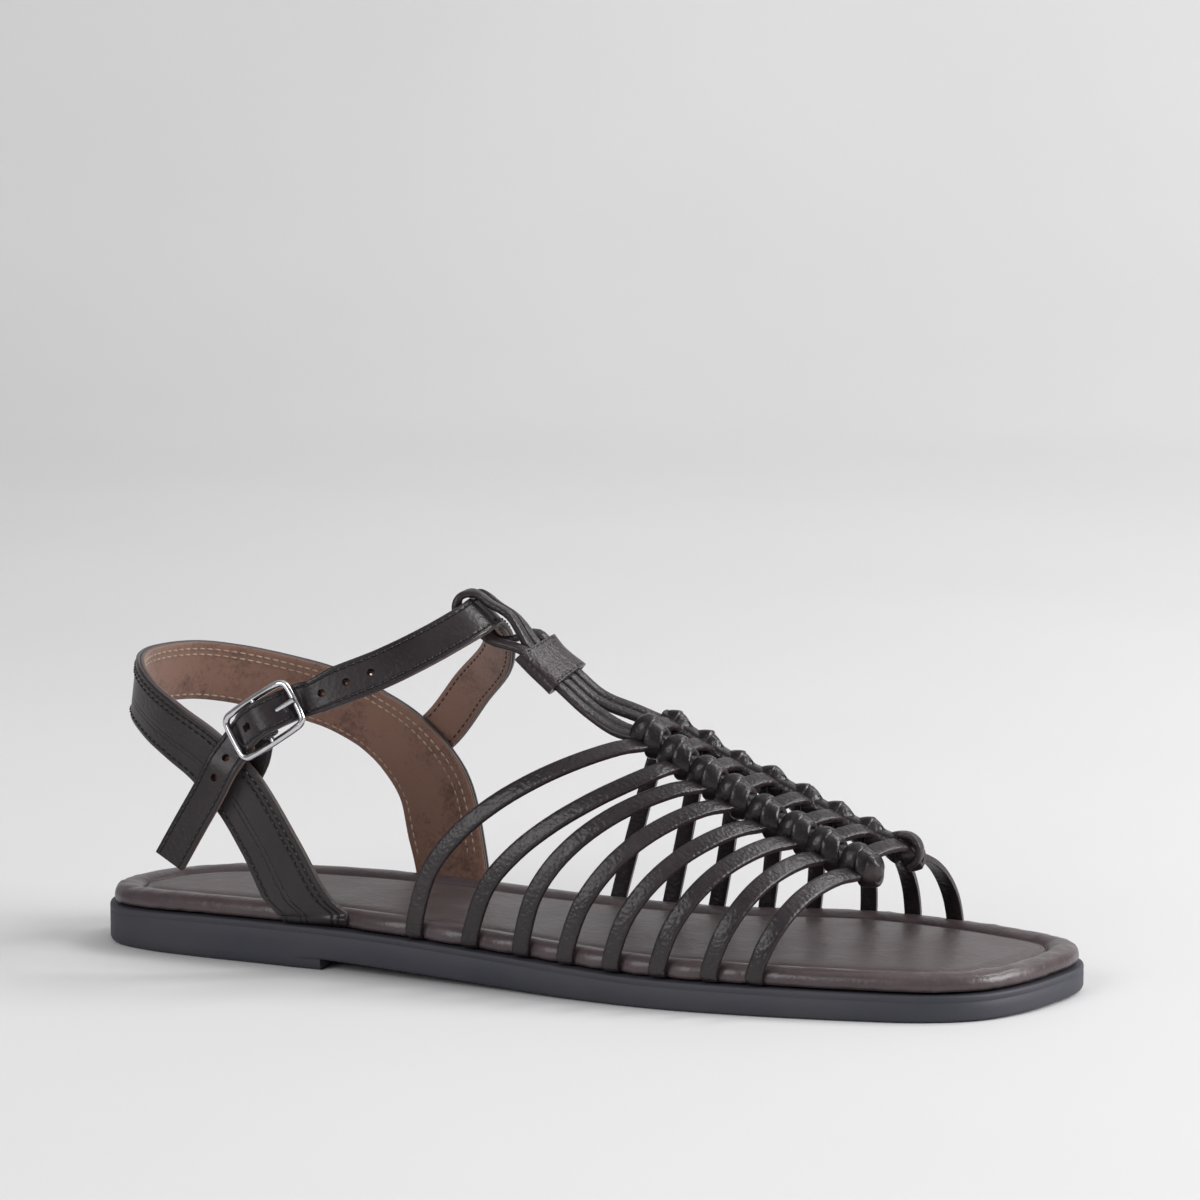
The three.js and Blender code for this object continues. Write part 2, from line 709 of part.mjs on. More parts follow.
function lengthTo(frames, point) {
  let passed = 0;
  let best = { distance: Infinity, length: 0 };
  frames.forEach((frame, i) => {
    if (i > 0) passed += frame.point.distanceTo(frames[i - 1].point);
    const distance = frame.point.distanceTo(point);
    if (distance < best.distance) best = { distance, length: passed };
  });
  return best.length;
}

function makeAnkleStrap(frames) {
  const strap = toSolid(strapGeometry(frames, flatSection, ankleWidth, ankleThickness));
  const bar = lengthTo(frames, bucklePoint(0, 0, overBar));
  const way = 2 * (prongRadius + gap);
  const prongWay = toSolid(strapGeometry(prongFrames(gap), wireSection, way, way));
  const holes = holePlaces.map((turn) => holeCutter(frameAt(frames, bar + turn * holePitch)));
  return [...holes, prongWay].reduce((solid, hole) => solid.subtract(hole), strap);
}

// Frame of the ankle strap where it passes a given distance from the midline
function ankleCrossing(frames, across) {
  const instep = -0.15 * soleLength;
  for (let i = 1; i < frames.length; i += 1) {
    const [from, to] = [frames[i - 1], frames[i]];
    const passes = (from.point.y - across) * (to.point.y - across) <= 0;
    if (passes && from.point.x > instep) {
      const t = (across - from.point.y) / (to.point.y - from.point.y);
      return {
        point: from.point.clone().lerp(to.point, t),
        face: from.face.clone().lerp(to.face, t).normalize(),
        side: from.side.clone().lerp(to.side, t).normalize(),
      };
    }
  }
  return frames[0];
}

const instepAcross = new THREE.Vector3(0, Math.cos(instepTilt), Math.sin(instepTilt));

function instepPoint(row, offset) {
  return place(row, ankleHeight).addScaledVector(instepAcross, offset);
}

function instepOut(index) {
  const ahead = place(instepRows[Math.max(index - 1, 0)], ankleHeight);
  const behind = place(instepRows[Math.min(index + 1, instepRows.length - 1)], ankleHeight);
  return behind.sub(ahead).normalize().cross(instepAcross).normalize().multiplyScalar(-1);
}

// One long thong: up from its column, over the ankle strap, back under it and down again
function thongFrames(column, ankle) {
  const side = column === 'near' ? -1 : 1;
  const pair = side * thongWidth;
  const half = thongWidth / 2;
  const anchor = columnPoint(column, strapRows[0]);
  const leg = (under) => instepRows.map((row, i) => ({
    point: instepPoint(row, pair * row.spread + side * (under ? half : -half)),
    out: instepOut(i),
  }));
  const root = (under) => ({
    point: anchor.clone().addScaledVector(instepAcross, side * (under ? half : -half) * 0.6),
    out: instepOut(0),
  });
  const loopSpread = 1.25;
  const clear = ankleThickness / 2 + gap + thongThickness / 2;
  const edge = ankleWidth / 2 + gap + thongThickness / 2;
  const loop = [
    { side: -edge * 0.95, face: clear * 1.8, under: 0 },
    { side: 0, face: clear * 1.4, under: 0 },
    { side: edge * 0.82, face: clear * 1.1, under: 0 },
    { side: edge * 1.12, face: 0, under: 0.5 },
    { side: edge * 0.82, face: -clear * 1.1, under: 1 },
    { side: 0, face: -clear * 1.12, under: 1 },
    { side: -edge * 0.95, face: -clear * 1.12, under: 1 },
  ].map((row) => {
    const offset = pair * loopSpread + side * half * (2 * row.under - 1);
    const frame = ankleCrossing(ankle, place(instepRows[4], ankleHeight).y + offset);
    const point = frame.point.clone()
      .addScaledVector(frame.side, row.side)
      .addScaledVector(frame.face, row.face);
    const out = frame.face.clone().multiplyScalar(row.face);
    if (row.under === 0.5) out.addScaledVector(frame.side, row.side);
    return { point, out: out.normalize() };
  });
  const back = leg(true).reverse().map((station) => ({ ...station, out: station.out.clone().negate() }));
  const rootBack = root(true);
  rootBack.out.negate();
  return strapFrames([root(false), ...leg(false), ...loop, ...back, rootBack], stationSteps.thong);
}

function makeUpper(straps, ankle) {
  const pieces = straps.map((frames) => strapGeometry(frames, roundedSection, strapWidth, strapThickness));
  for (const column of ['near', 'far']) {
    const thong = thongFrames(column, ankle);
    pieces.push(columnGeometry(column));
    pieces.push(strapGeometry(thong, roundedSection, thongWidth, thongThickness));
  }
  return pieces.map(toSolid).reduce((solid, piece) => solid.add(piece));
}

// Keeper: a leather tab folded round the four thongs
function makeKeeper() {
  const stations = [2, 3, 4].map((index) => {
    const point = instepPoint(instepRows[index], 0);
    return { point, out: instepOut(index) };
  });
  const frames = strapFrames(stations, 4).slice(0, -1);
  const reach = [frames[0], frames[frames.length - 1]];
  const long = frames.map((frame) => ({ ...frame, point: frame.point.clone() }));
  long[0].point.addScaledVector(reach[0].along, -3 * keeperWall);
  long[long.length - 1].point.addScaledVector(reach[1].along, 3 * keeperWall);
  const width = 4 * thongWidth + 2 * gap;
  const depth = thongThickness + 2 * gap;
  const outer = strapGeometry(frames, roundedSection, width + 2.6 * keeperWall, depth + 2 * keeperWall);
  const inner = strapGeometry(long, flatSection, width + gap, depth + gap);
  return toSolid(outer).subtract(toSolid(inner));
}

// Quarter: heel strap and both legs in one lined piece
function quarterOut(point) {
  const axis = (heelAxisAlong - 0.5) * soleLength;
  const flat = new THREE.Vector3(Math.min(point.x - axis, 0), point.y, 0).normalize();
  return flat.setZ(heelStrapLean).normalize();
}

function quarterFrames() {
  const rows = quarterRows.map((row) => {
    const point = place(row, heelStrapHeight);
    return { point, out: quarterOut(point), width: row.width, level: row.level };
  });
  const lateral = tuckStations(-1, lateralLegAlong, quarterWall, lateralLegWidth);
  const medial = tuckStations(1, medialLegAlong, quarterWall, medialLegWidth).reverse();
  return strapFrames([...lateral, ...rows, ...medial], stationSteps.quarter);
}

// Buckle frame: a rounded rectangle of flat wire with a bar across its middle
function makeBuckleFrame() {
  const reach = { forward: buckleLength / 2 - buckleWire / 2, across: buckleWidth / 2 - buckleWire / 2 };
  const corner = buckleCorner - buckleWire / 2;
  const stations = [];
  const corners = [[1, 1, 0], [-1, 1, 90], [-1, -1, 180], [1, -1, 270]];
  for (const [forward, across, start] of corners) {
    for (const angle of [0, 30, 60, 90]) {
      const turn = THREE.MathUtils.degToRad(start + angle);
      const u = forward * (reach.forward - corner) + corner * Math.cos(turn);
      const v = across * (reach.across - corner) + corner * Math.sin(turn);
      const bow = -buckleBow * (u / reach.forward) ** 2;
      stations.push({ point: bucklePoint(u, v, bow), out: buckleOut });
    }
  }
  const ring = strapGeometry(strapFrames(stations, 1, true), wireSection, buckleWire, buckleDepth, true);
  const bar = new THREE.CylinderGeometry(barRadius, barRadius, 2 * reach.across, 8);
  const turn = new THREE.Quaternion().setFromUnitVectors(new THREE.Vector3(0, 1, 0), buckleAcross);
  bar.applyQuaternion(turn);
  bar.translate(buckleCentre.x, buckleCentre.y, buckleCentre.z);
  return toSolid(ring).add(toSolid(bar));
}

// Chape: a tab from behind the lateral leg, folded round the centre bar and slit for the prong
function makeChape() {
  const sleeve = new THREE.CylinderGeometry(sleeveRadius, sleeveRadius, chapeWidth, 10);
  const bore = new THREE.CylinderGeometry(barRadius + gap, barRadius + gap, chapeWidth * 2, 8);
  const slitReach = 2 * sleeveRadius + 3 * chapeThickness;
  const slit = new THREE.BoxGeometry(slitReach, 2 * (prongRadius + gap), slitReach);
  const upright = buckleForward.clone().cross(buckleAcross);
  const turn = new THREE.Matrix4().makeBasis(buckleForward, buckleAcross, upright);
  for (const geometry of [sleeve, bore, slit]) {
    geometry.applyMatrix4(turn);
    geometry.translate(buckleCentre.x, buckleCentre.y, buckleCentre.z);
  }
  const inner = quarterWall / 2 + 4 * gap + chapeThickness / 2;
  const leg = quarterRows[2];
  const root = place({ along: leg.along - 0.006, across: leg.across, up: leg.up }, heelStrapHeight);
  root.y += inner;
  const middle = root.clone().lerp(bucklePoint(-sleeveRadius, 0, 0), 0.5);
  middle.y = root.y - chapeThickness * 0.3;
  const out = new THREE.Vector3(0, -1, 0.1);
  const frames = strapFrames([
    { point: root, out, width: 0.85 },
    { point: middle, out },
    { point: bucklePoint(-sleeveRadius * 1.5, 0, -sleeveRadius * 1.6), out: buckleOut },
    { point: bucklePoint(-sleeveRadius * 0.3, 0, -sleeveRadius * 0.7), out: buckleOut },
  ], 2);
  const tab = toSolid(strapGeometry(frames, flatSection, chapeWidth, chapeThickness));
  return tab.add(toSolid(sleeve)).subtract(toSolid(bore)).subtract(toSolid(slit));
}

const group = new THREE.Group();

function addPiece(name, shape, finish) {
  const geometry = shape.isBufferGeometry ? shape : toGeometry(shape);
  geometry.computeVertexNormals();
  const mesh = new THREE.Mesh(geometry, new THREE.MeshStandardMaterial(finish));
  mesh.name = name;
  group.add(mesh);
}

const straps = strapRows.map((row) => frontStrapFrames(row));
const quarter = quarterFrames();
const ankle = ankleFrames();
const passing = straps.map((frames) => grownStrap(frames, strapWidth, strapThickness));
passing.push(grownStrap(quarter, heelStrapWidth, quarterWall));

addPiece('outsole', makeOutsole(), rubber);
addPiece('footbed_rim', makeFootbed(passing), padding);
addPiece('insole', makeInsole(), padding);
addPiece('upper', makeUpper(straps, ankle), leather);
addPiece('keeper', makeKeeper(), leather);
addPiece('quarter', strapGeometry(quarter, flatSection, heelStrapWidth, quarterWall), leather);
addPiece('ankle_strap', makeAnkleStrap(ankle), leather);
addPiece('buckle_frame', makeBuckleFrame(), chrome);
const prong = strapGeometry(prongFrames(), wireSection, 2 * prongRadius, 2 * prongRadius);
addPiece('buckle_prong', prong, chrome);
addPiece('buckle_chape', makeChape(), leather);

export default group;
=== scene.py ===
import math
import random

import bmesh
import bpy
from mathutils import Matrix, Vector, noise


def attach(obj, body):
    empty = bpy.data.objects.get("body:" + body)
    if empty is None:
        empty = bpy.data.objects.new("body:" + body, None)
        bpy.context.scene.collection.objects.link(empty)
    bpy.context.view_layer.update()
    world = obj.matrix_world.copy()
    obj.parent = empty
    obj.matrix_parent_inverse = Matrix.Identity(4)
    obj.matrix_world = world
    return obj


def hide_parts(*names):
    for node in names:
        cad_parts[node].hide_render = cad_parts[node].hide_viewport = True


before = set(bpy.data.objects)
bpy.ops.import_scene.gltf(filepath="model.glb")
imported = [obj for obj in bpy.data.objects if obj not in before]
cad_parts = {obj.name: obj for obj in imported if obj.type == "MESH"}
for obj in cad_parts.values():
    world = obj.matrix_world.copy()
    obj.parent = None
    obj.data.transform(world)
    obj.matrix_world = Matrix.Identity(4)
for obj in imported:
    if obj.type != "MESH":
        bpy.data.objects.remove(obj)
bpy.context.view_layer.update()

# Outsole: one moulded rubber unit, matt blue-grey black, with a low heel block, an open arch
# under the waist and a little lift at the toe. A fine line runs round it below the top edge.
SOLE_LENGTH = 255.0
SOLE_WIDTH = 84.3
RUBBER_HEIGHT = 10.8
HEEL_BLOCK_LENGTH = 70.0
HEEL_STEP = 2.9
TOE_SPRING = 0.6
SOLE_BEVEL = 0.9
EDGE_STEPS = 96
RUNG_STEPS = 14

# Outline from the heel along the outer side to the toe and back: share of length, of half width
outline_rows = [
    (0, -0.101), (0.01, -0.338), (0.03, -0.492), (0.071, -0.599), (0.122, -0.654), (0.22, -0.708),
    (0.341, -0.786), (0.459, -0.865), (0.561, -0.955), (0.651, -1), (0.741, -0.965), (0.831, -0.884),
    (0.902, -0.777), (0.949, -0.6), (0.978, -0.32), (0.994, 0.018), (1, 0.279), (0.994, 0.492),
    (0.973, 0.67), (0.933, 0.801), (0.882, 0.907), (0.816, 0.985), (0.75, 1), (0.686, 0.915),
    (0.627, 0.79), (0.561, 0.699), (0.459, 0.635), (0.341, 0.64), (0.22, 0.66), (0.122, 0.61),
    (0.059, 0.48), (0.02, 0.255),
]
TOE_ROW = 16

# Share of length, then top of the rubber, lift of the arch and lift of the toe
height_rows = [
    (0, 0.907, 1, 0), (0.15, 1, 1, 0), (0.26, 1.009, 1, 0), (0.34, 0.975, 0.8, 0), (0.42, 0.889, 0.52, 0),
    (0.55, 0.741, 0.12, 0), (0.62, 0.675, 0, 0), (0.8, 0.635, 0, 0), (0.87, 0.62, 0, 0),
    (0.914, 0.61, 0, 0.2), (0.95, 0.61, 0, 0.5), (1, 0.63, 0, 1),
]


def on_sole(along, across, up=0.0):
    return Vector(((along - 0.5) * SOLE_LENGTH, across * SOLE_WIDTH / 2, up))


def blend(rows, column, along):
    slopes = [(b[column] - a[column]) / (b[0] - a[0]) for a, b in zip(rows, rows[1:])]

    def slope_at(i):
        if i in (0, len(rows) - 1) or slopes[i - 1] * slopes[i] <= 0:
            return 0.0
        return 2 * slopes[i - 1] * slopes[i] / (slopes[i - 1] + slopes[i])

    share = min(max(along, 0.0), 1.0)
    i = 0
    while i < len(rows) - 2 and share > rows[i + 1][0]:
        i += 1
    step = rows[i + 1][0] - rows[i][0]
    t = (share - rows[i][0]) / step
    start = rows[i][column] * (1 + 2 * t) * (1 - t) ** 2 + rows[i + 1][column] * t * t * (3 - 2 * t)
    return start + step * (slope_at(i) * t * (1 - t) ** 2 - slope_at(i + 1) * t * t * (1 - t))


def rubber_top(x):
    return RUBBER_HEIGHT * blend(height_rows, 1, x / SOLE_LENGTH + 0.5)


def rubber_bottom(x):
    along = x / SOLE_LENGTH + 0.5
    return HEEL_STEP * blend(height_rows, 2, along) + TOE_SPRING * blend(height_rows, 3, along)


def along_line(points, share, closed=False):
    """Point of a smooth line through the points."""
    count = len(points)
    place = (count - (0 if closed else 1)) * share
    i = math.floor(place)
    t = place - i
    if not closed and i >= count - 1:
        i, t = count - 2, 1.0
    b, c = points[i % count], points[(i + 1) % count]
    a = points[(i - 1) % count] if closed or i > 0 else b * 2 - c
    d = points[(i + 2) % count] if closed or i + 2 < count else c * 2 - b
    ab, bc, cd = ((q - p).length ** 0.5 for p, q in ((a, b), (b, c), (c, d)))
    bc = bc if bc > 1e-4 else 1.0
    ab = ab if ab > 1e-4 else bc
    cd = cd if cd > 1e-4 else bc
    leave = ((b - a) / ab - (c - a) / (ab + bc) + (c - b) / bc) * bc
    reach = ((c - b) / bc - (d - b) / (bc + cd) + (d - c) / cd) * bc
    return b + leave * t + (c * 3 - b * 3 - leave * 2 - reach) * t ** 2 + (b * 2 - c * 2 + leave + reach) * t ** 3


def way_of_line(points, share, closed=False):
    low, high = max(share - 1e-4, 0.0), min(share + 1e-4, 1.0)
    return (along_line(points, high, closed) - along_line(points, low, closed)).normalized()


outline = [on_sole(along, across) for along, across in outline_rows]
toe_share = TOE_ROW / len(outline_rows)


def edge_at(share, inset):
    way = way_of_line(outline, share, True)
    return along_line(outline, share, True) + Vector((-way.y, way.x, 0)) * inset


edge_shares = [toe_share * i / EDGE_STEPS for i in range(EDGE_STEPS)]
edge_shares += [toe_share + (1 - toe_share) * i / EDGE_STEPS for i in range(EDGE_STEPS)]
edge_base = [edge_at(share, 0.0) for share in edge_shares]
edge_inward = [edge_at(share, 1.0) - base for share, base in zip(edge_shares, edge_base)]


def sole_ring(inset, height):
    ring = []
    for i, (base, inward) in enumerate(zip(edge_base, edge_inward)):
        point = base + inward * (inset(i) if callable(inset) else inset)
        point.z = height(point.x)
        ring.append(point)
    return ring


def bridge(faces, first, second, count, closed=True):
    for i in range(count if closed else count - 1):
        j = (i + 1) % count
        faces.append((first + i, first + j, second + j, second + i))


def sole_stack(rows, low_height, high_height):
    """Closed skin of stacked rings that follow the sole, with a low and a high face."""
    points, faces = [], []
    count = 2 * EDGE_STEPS
    for inset, height in rows:
        points.extend(sole_ring(inset, height))
    for level in range(len(rows) - 1):
        bridge(faces, level * count, (level + 1) * count, count)
    for start, height in ((0, low_height), ((len(rows) - 1) * count, high_height)):
        before = None
        for i in range(1, EDGE_STEPS):
            near, far = start + i, start + count - i
            row = [near]
            for j in range(1, RUNG_STEPS):
                point = points[near].lerp(points[far], j / RUNG_STEPS)
                point.z = height(point.x, point.y)
                row.append(len(points))
                points.append(point)
            row.append(far)
            if before is None:
                faces.extend((start, a, b) for a, b in zip(row, row[1:]))
            else:
                faces.extend((a, b, d, c) for a, b, c, d in zip(before, before[1:], row, row[1:]))
            before = row
        faces.extend((start + EDGE_STEPS, b, a) for a, b in zip(before, before[1:]))
    return points, faces


def add_piece(name, points, faces, material, lines=None):
    """A smooth piece of the given skin, in metres, that rides on the shoe."""
    mesh = bpy.data.meshes.new(name)
    mesh.from_pydata([tuple(point * 0.001) for point in points], [], faces)
    if lines:
        layer = mesh.uv_layers.new(name="Strap")
        for loop in mesh.loops:
            layer.data[loop.index].uv = lines[loop.vertex_index]
    shell = bmesh.new()
    shell.from_mesh(mesh)
    bmesh.ops.recalc_face_normals(shell, faces=shell.faces[:])
    for face in shell.faces:
        face.smooth = True
    for edge in shell.edges:
        edge.smooth = len(edge.link_faces) != 2 or edge.calc_face_angle() < math.radians(50)
    shell.to_mesh(mesh)
    shell.free()
    mesh.materials.append(material)
    piece = bpy.data.objects.new(name, mesh)
    bpy.context.scene.collection.objects.link(piece)
    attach(piece, "root")
    return piece


def new_finish(name):
    """A material with its shader and a way to add further nodes."""
    material = bpy.data.materials.new(name)
    material.use_nodes = True
    tree = material.node_tree
    shader = tree.nodes["Principled BSDF"]

    def node(kind, links=(), **values):
        made = tree.nodes.new(kind)
        for key, value in values.items():
            setattr(made, key, value)
        for socket, source in links:
            if hasattr(source, "is_output"):
                tree.links.new(source, made.inputs[socket])
            else:
                made.inputs[socket].default_value = source
        return made

    def join(source, socket):
        tree.links.new(source, shader.inputs[socket])

    return material, shader, node, join


def ramp(node, source, stops):
    made = node("ShaderNodeValToRGB", [("Fac", source)])
    marks = made.color_ramp.elements
    while len(marks) < len(stops):
        marks.new(0.5)
    for mark, (place, colour) in zip(marks, stops):
        mark.position = place
        mark.color = (*colour, 1.0) if isinstance(colour, tuple) else (colour, colour, colour, 1.0)
    return made.outputs["Color"]


def matt_rubber():
    material, shader, node, join = new_finish("matt_rubber")
    place = node("ShaderNodeTexCoord").outputs["Object"]
    cloud = node("ShaderNodeTexNoise", [("Vector", place), ("Scale", 34.0), ("Detail", 5.0)]).outputs["Fac"]
    speck = node("ShaderNodeTexNoise", [("Vector", place), ("Scale", 1900.0), ("Detail", 3.0)]).outputs["Fac"]
    join(ramp(node, cloud, [(0.3, (0.034, 0.035, 0.047)), (0.7, (0.052, 0.052, 0.062))]), "Base Color")
    join(ramp(node, cloud, [(0.3, 0.52), (0.7, 0.66)]), "Roughness")
    parts = node("ShaderNodeSeparateXYZ", [("Vector", place)])
    ribs = node("ShaderNodeMath", [(0, parts.outputs["X"]), (1, 1400.0)], operation="MULTIPLY")
    ribs = node("ShaderNodeMath", [(0, ribs.outputs[0])], operation="SINE")
    facing = node("ShaderNodeSeparateXYZ", [("Vector", node("ShaderNodeNewGeometry").outputs["Normal"])])
    under = node("ShaderNodeMath", [(0, facing.outputs["Z"]), (1, -0.8)], operation="LESS_THAN")
    tread = node("ShaderNodeMath", [(0, ribs.outputs[0]), (1, under.outputs[0])], operation="MULTIPLY")
    fine = node("ShaderNodeBump", [("Height", speck), ("Strength", 0.35), ("Distance", 0.00012)])
    coarse = node("ShaderNodeBump", [("Height", tread.outputs[0]), ("Strength", 0.8), ("Distance", 0.0004),
                                     ("Normal", fine.outputs[0])])
    join(coarse.outputs[0], "Normal")
    shader.inputs["Specular IOR Level"].default_value = 0.4
    return material


rubber = matt_rubber()
GROOVE = 0.12


def below_top(depth):
    return lambda x: rubber_top(x) - depth


block_limit = HEEL_BLOCK_LENGTH - SOLE_LENGTH / 2


def lower_bevel(inset):
    return lambda i: inset if edge_base[i].x > block_limit else 0.0


unit = sole_stack([
    (lower_bevel(SOLE_BEVEL), rubber_bottom),
    (lower_bevel(SOLE_BEVEL * 0.3), lambda x: rubber_bottom(x) + SOLE_BEVEL * 0.3),
    (0.0, lambda x: rubber_bottom(x) + SOLE_BEVEL),
    (0.0, lambda x: (rubber_bottom(x) + SOLE_BEVEL + rubber_top(x) - 1.85) / 2),
    (0.0, below_top(1.85)),
    (GROOVE, below_top(1.7)),
    (GROOVE, below_top(1.5)),
    (0.0, below_top(1.35)),
    (0.0, below_top(0.5)),
    (0.13, below_top(0.15)),
    (0.45, rubber_top),
], lambda x, y: rubber_bottom(x), lambda x, y: rubber_top(x))
rubber_unit = add_piece("rubber_unit", *unit, rubber)

block_rows = [(1.25, 0.0), (0.9, 0.1), (0.35, 0.55), (0.0, 1.25), (0.0, HEEL_STEP - 0.01)]
block_count = max(i for i in range(EDGE_STEPS) if edge_base[i].x < block_limit)
block_points, block_faces = [], []
for inset, height in block_rows:
    side_points = sole_ring(inset, lambda x: height)
    ring = [side_points[i] for i in range(block_count, -1, -1)]
    ring += [side_points[-i] for i in range(1, block_count + 1)]
    ring[0].x = ring[-1].x = block_limit - (0.5 if height < 0.2 else 0.0)
    block_points.extend(ring)
ring_count = 2 * block_count + 1
for level in range(len(block_rows) - 1):
    bridge(block_faces, level * ring_count, (level + 1) * ring_count, ring_count)
block_faces.append(tuple(range(ring_count)))
block_faces.append(tuple(range((len(block_rows) - 1) * ring_count, len(block_rows) * ring_count)))
heel_block = add_piece("heel_block", block_points, block_faces, rubber)
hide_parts("outsole")


# Footbed rim: a board with foam round its edge, wrapped in soft leather that is drawn tight
# over the rim, so it puckers a little at the heel and toe and dips where each strap passes.
LEDGE = 1.2
RIM_WIDTH = 8.6
RIM_HEIGHT = 4.9
BOARD = 1.4
GAP = 0.3
STRAP_WIDTH = 4.3
STRAP_THICKNESS = 1.8
HEEL_STRAP_WIDTH = 15.5
lateral_leg = (0.267, 1.17)
medial_leg = (0.32, 1.34)

# For each front strap, as shares: where it leaves the outer edge, where it crosses the near
# column and how high, the same for the far column, where it meets the inner edge, its bends
strap_rows = [
    (0.38, 0.583, 0.953, 0.59, 0.953, 0.5, -0.15, -0.64),
    (0.442, 0.613, 0.877, 0.623, 0.878, 0.554, 0.22, -0.85),
    (0.499, 0.644, 0.806, 0.656, 0.808, 0.6, -0.3, -0.4),
    (0.548, 0.673, 0.74, 0.689, 0.758, 0.648, -0.21, -0.2),
    (0.597, 0.705, 0.669, 0.724, 0.691, 0.692, -0.18, -0.2),
    (0.646, 0.738, 0.615, 0.758, 0.629, 0.747, -0.21, 0),
    (0.698, 0.767, 0.562, 0.789, 0.578, 0.794, -0.14, 0.18),
    (0.742, 0.803, 0.508, 0.824, 0.53, 0.84, -0.14, 0.31),
]


passes = [(-1, row[0], STRAP_WIDTH) for row in strap_rows] + [(1, row[5], STRAP_WIDTH) for row in strap_rows]
passes += [(side, leg[0], HEEL_STRAP_WIDTH * leg[1]) for side, leg in ((-1, lateral_leg), (1, medial_leg))]


def strap_dip(i):
    """How far a strap presses the rim in, at one step of the edge."""
    side = -1 if i < EDGE_STEPS else 1
    dip = 0.0
    for strap_side, along, width in passes:
        if strap_side == side:
            away = abs(edge_base[i].x - (along - 0.5) * SOLE_LENGTH) - width / 2
            dip = max(dip, 1.0 - max(away, 0.0) / 2.2)
    return max(dip, 0.0) ** 1.5


dips = [strap_dip(i) for i in range(2 * EDGE_STEPS)]


def shoe_leather(name, dark, light, roughness, grain=0.3, crease=0.0, coat=0.06, edge=None, edge_width=0.06,
                 pressed=()):
    """Dyed leather: cloudy dye, fine pores, soft creases and, along a strap, lighter cut edges that are partly a
    painted edge highlight, and pressed lines darkened with painted shade.
    """
    material, shader, node, join = new_finish(name)
    place = node("ShaderNodeTexCoord").outputs["Object"]
    cloud = node("ShaderNodeTexNoise", [("Vector", place), ("Scale", 55.0), ("Detail", 6.0), ("Roughness", 0.6)])
    pores = node("ShaderNodeTexVoronoi", [("Vector", place), ("Scale", 1100.0)], feature="SMOOTH_F1")
    fibre = node("ShaderNodeTexNoise", [("Vector", place), ("Scale", 700.0), ("Detail", 4.0)])
    colour = ramp(node, cloud.outputs["Fac"], [(0.32, dark), (0.68, light)])
    if edge or pressed:
        across = node("ShaderNodeSeparateXYZ", [("Vector", node("ShaderNodeUVMap", uv_map="Strap").outputs["UV"])])
        across = across.outputs["Y"]
    # Lighter colour at both edges of the strap: partly the cut edge's own tone, partly a painted edge highlight.
    if edge:
        bare_edge_and_highlight = ramp(node, across, [(0.0, 1.0), (edge_width, 0.0), (1.0 - edge_width, 0.0), (1.0, 1.0)])
        mix = node("ShaderNodeMix", [("Factor", bare_edge_and_highlight), (6, colour), (7, (*edge, 1.0))], data_type="RGBA")
        colour = mix.outputs[2]
    height = node("ShaderNodeMath", [(0, pores.outputs["Distance"]), (1, fibre.outputs["Fac"])], operation="ADD")
    bump = node("ShaderNodeBump", [("Height", height.outputs[0]), ("Strength", grain), ("Distance", 0.0002)])
    if crease:
        folds = node("ShaderNodeTexNoise", [("Vector", place), ("Scale", 190.0), ("Detail", 3.0),
                                            ("Distortion", 0.8)])
        bump = node("ShaderNodeBump", [("Height", folds.outputs["Fac"]), ("Strength", crease), ("Distance", 0.0009),
                                       ("Normal", bump.outputs[0])])
    # The pressed lines are darkened in the colour as painted shade in their grooves, on top of their bump.
    if pressed:
        stops = [(0.0, 1.0)]
        for middle, half in sorted(pressed):
            stops += [(middle - half, 1.0), (middle, 0.0), (middle + half, 1.0)]
        line = ramp(node, across, stops)
        mix = node("ShaderNodeMix", [("Factor", 0.55), (6, colour), (7, line)], data_type="RGBA",
                   blend_type="MULTIPLY")
        colour = mix.outputs[2]
        bump = node("ShaderNodeBump", [("Height", line), ("Strength", 0.9), ("Distance", 0.0003),
                                       ("Normal", bump.outputs[0])])
    join(colour, "Base Color")
    join(ramp(node, cloud.outputs["Fac"], [(0.3, roughness - 0.07), (0.7, roughness + 0.07)]), "Roughness")
    join(bump.outputs[0], "Normal")
    shader.inputs["Specular IOR Level"].default_value = 0.42
    shader.inputs["Coat Weight"].default_value = coat
    shader.inputs["Coat Roughness"].default_value = 0.28
    return material


rim_leather = shoe_leather("rim_leather", (0.052, 0.036, 0.039), (0.078, 0.056, 0.060), 0.37, grain=0.3,
                           crease=0.35, coat=0.2)
rim_profile = [(0.10, 0.06), (0.03, 0.12), (0.0, 0.26), (0.0, 0.42), (0.02, 0.60), (0.07, 0.76), (0.15, 0.89),
               (0.26, 0.965), (0.40, 1.0), (0.54, 0.985), (0.66, 0.93), (0.77, 0.84), (0.86, 0.72), (0.91, 0.56)]


def pucker(x, y, inward):
    """Small folds of the wrapped leather, strongest round the heel and the toe."""
    ends = max(0.0, abs(x / 127.5) - 0.62) / 0.38
    folds = noise.noise(Vector((x * 0.35, y * 0.35, inward * 0.6)))
    fine = noise.noise(Vector((x * 0.95, y * 0.95, inward * 1.4)))
    return (0.16 + 0.3 * ends) * folds + 0.1 * ends * fine


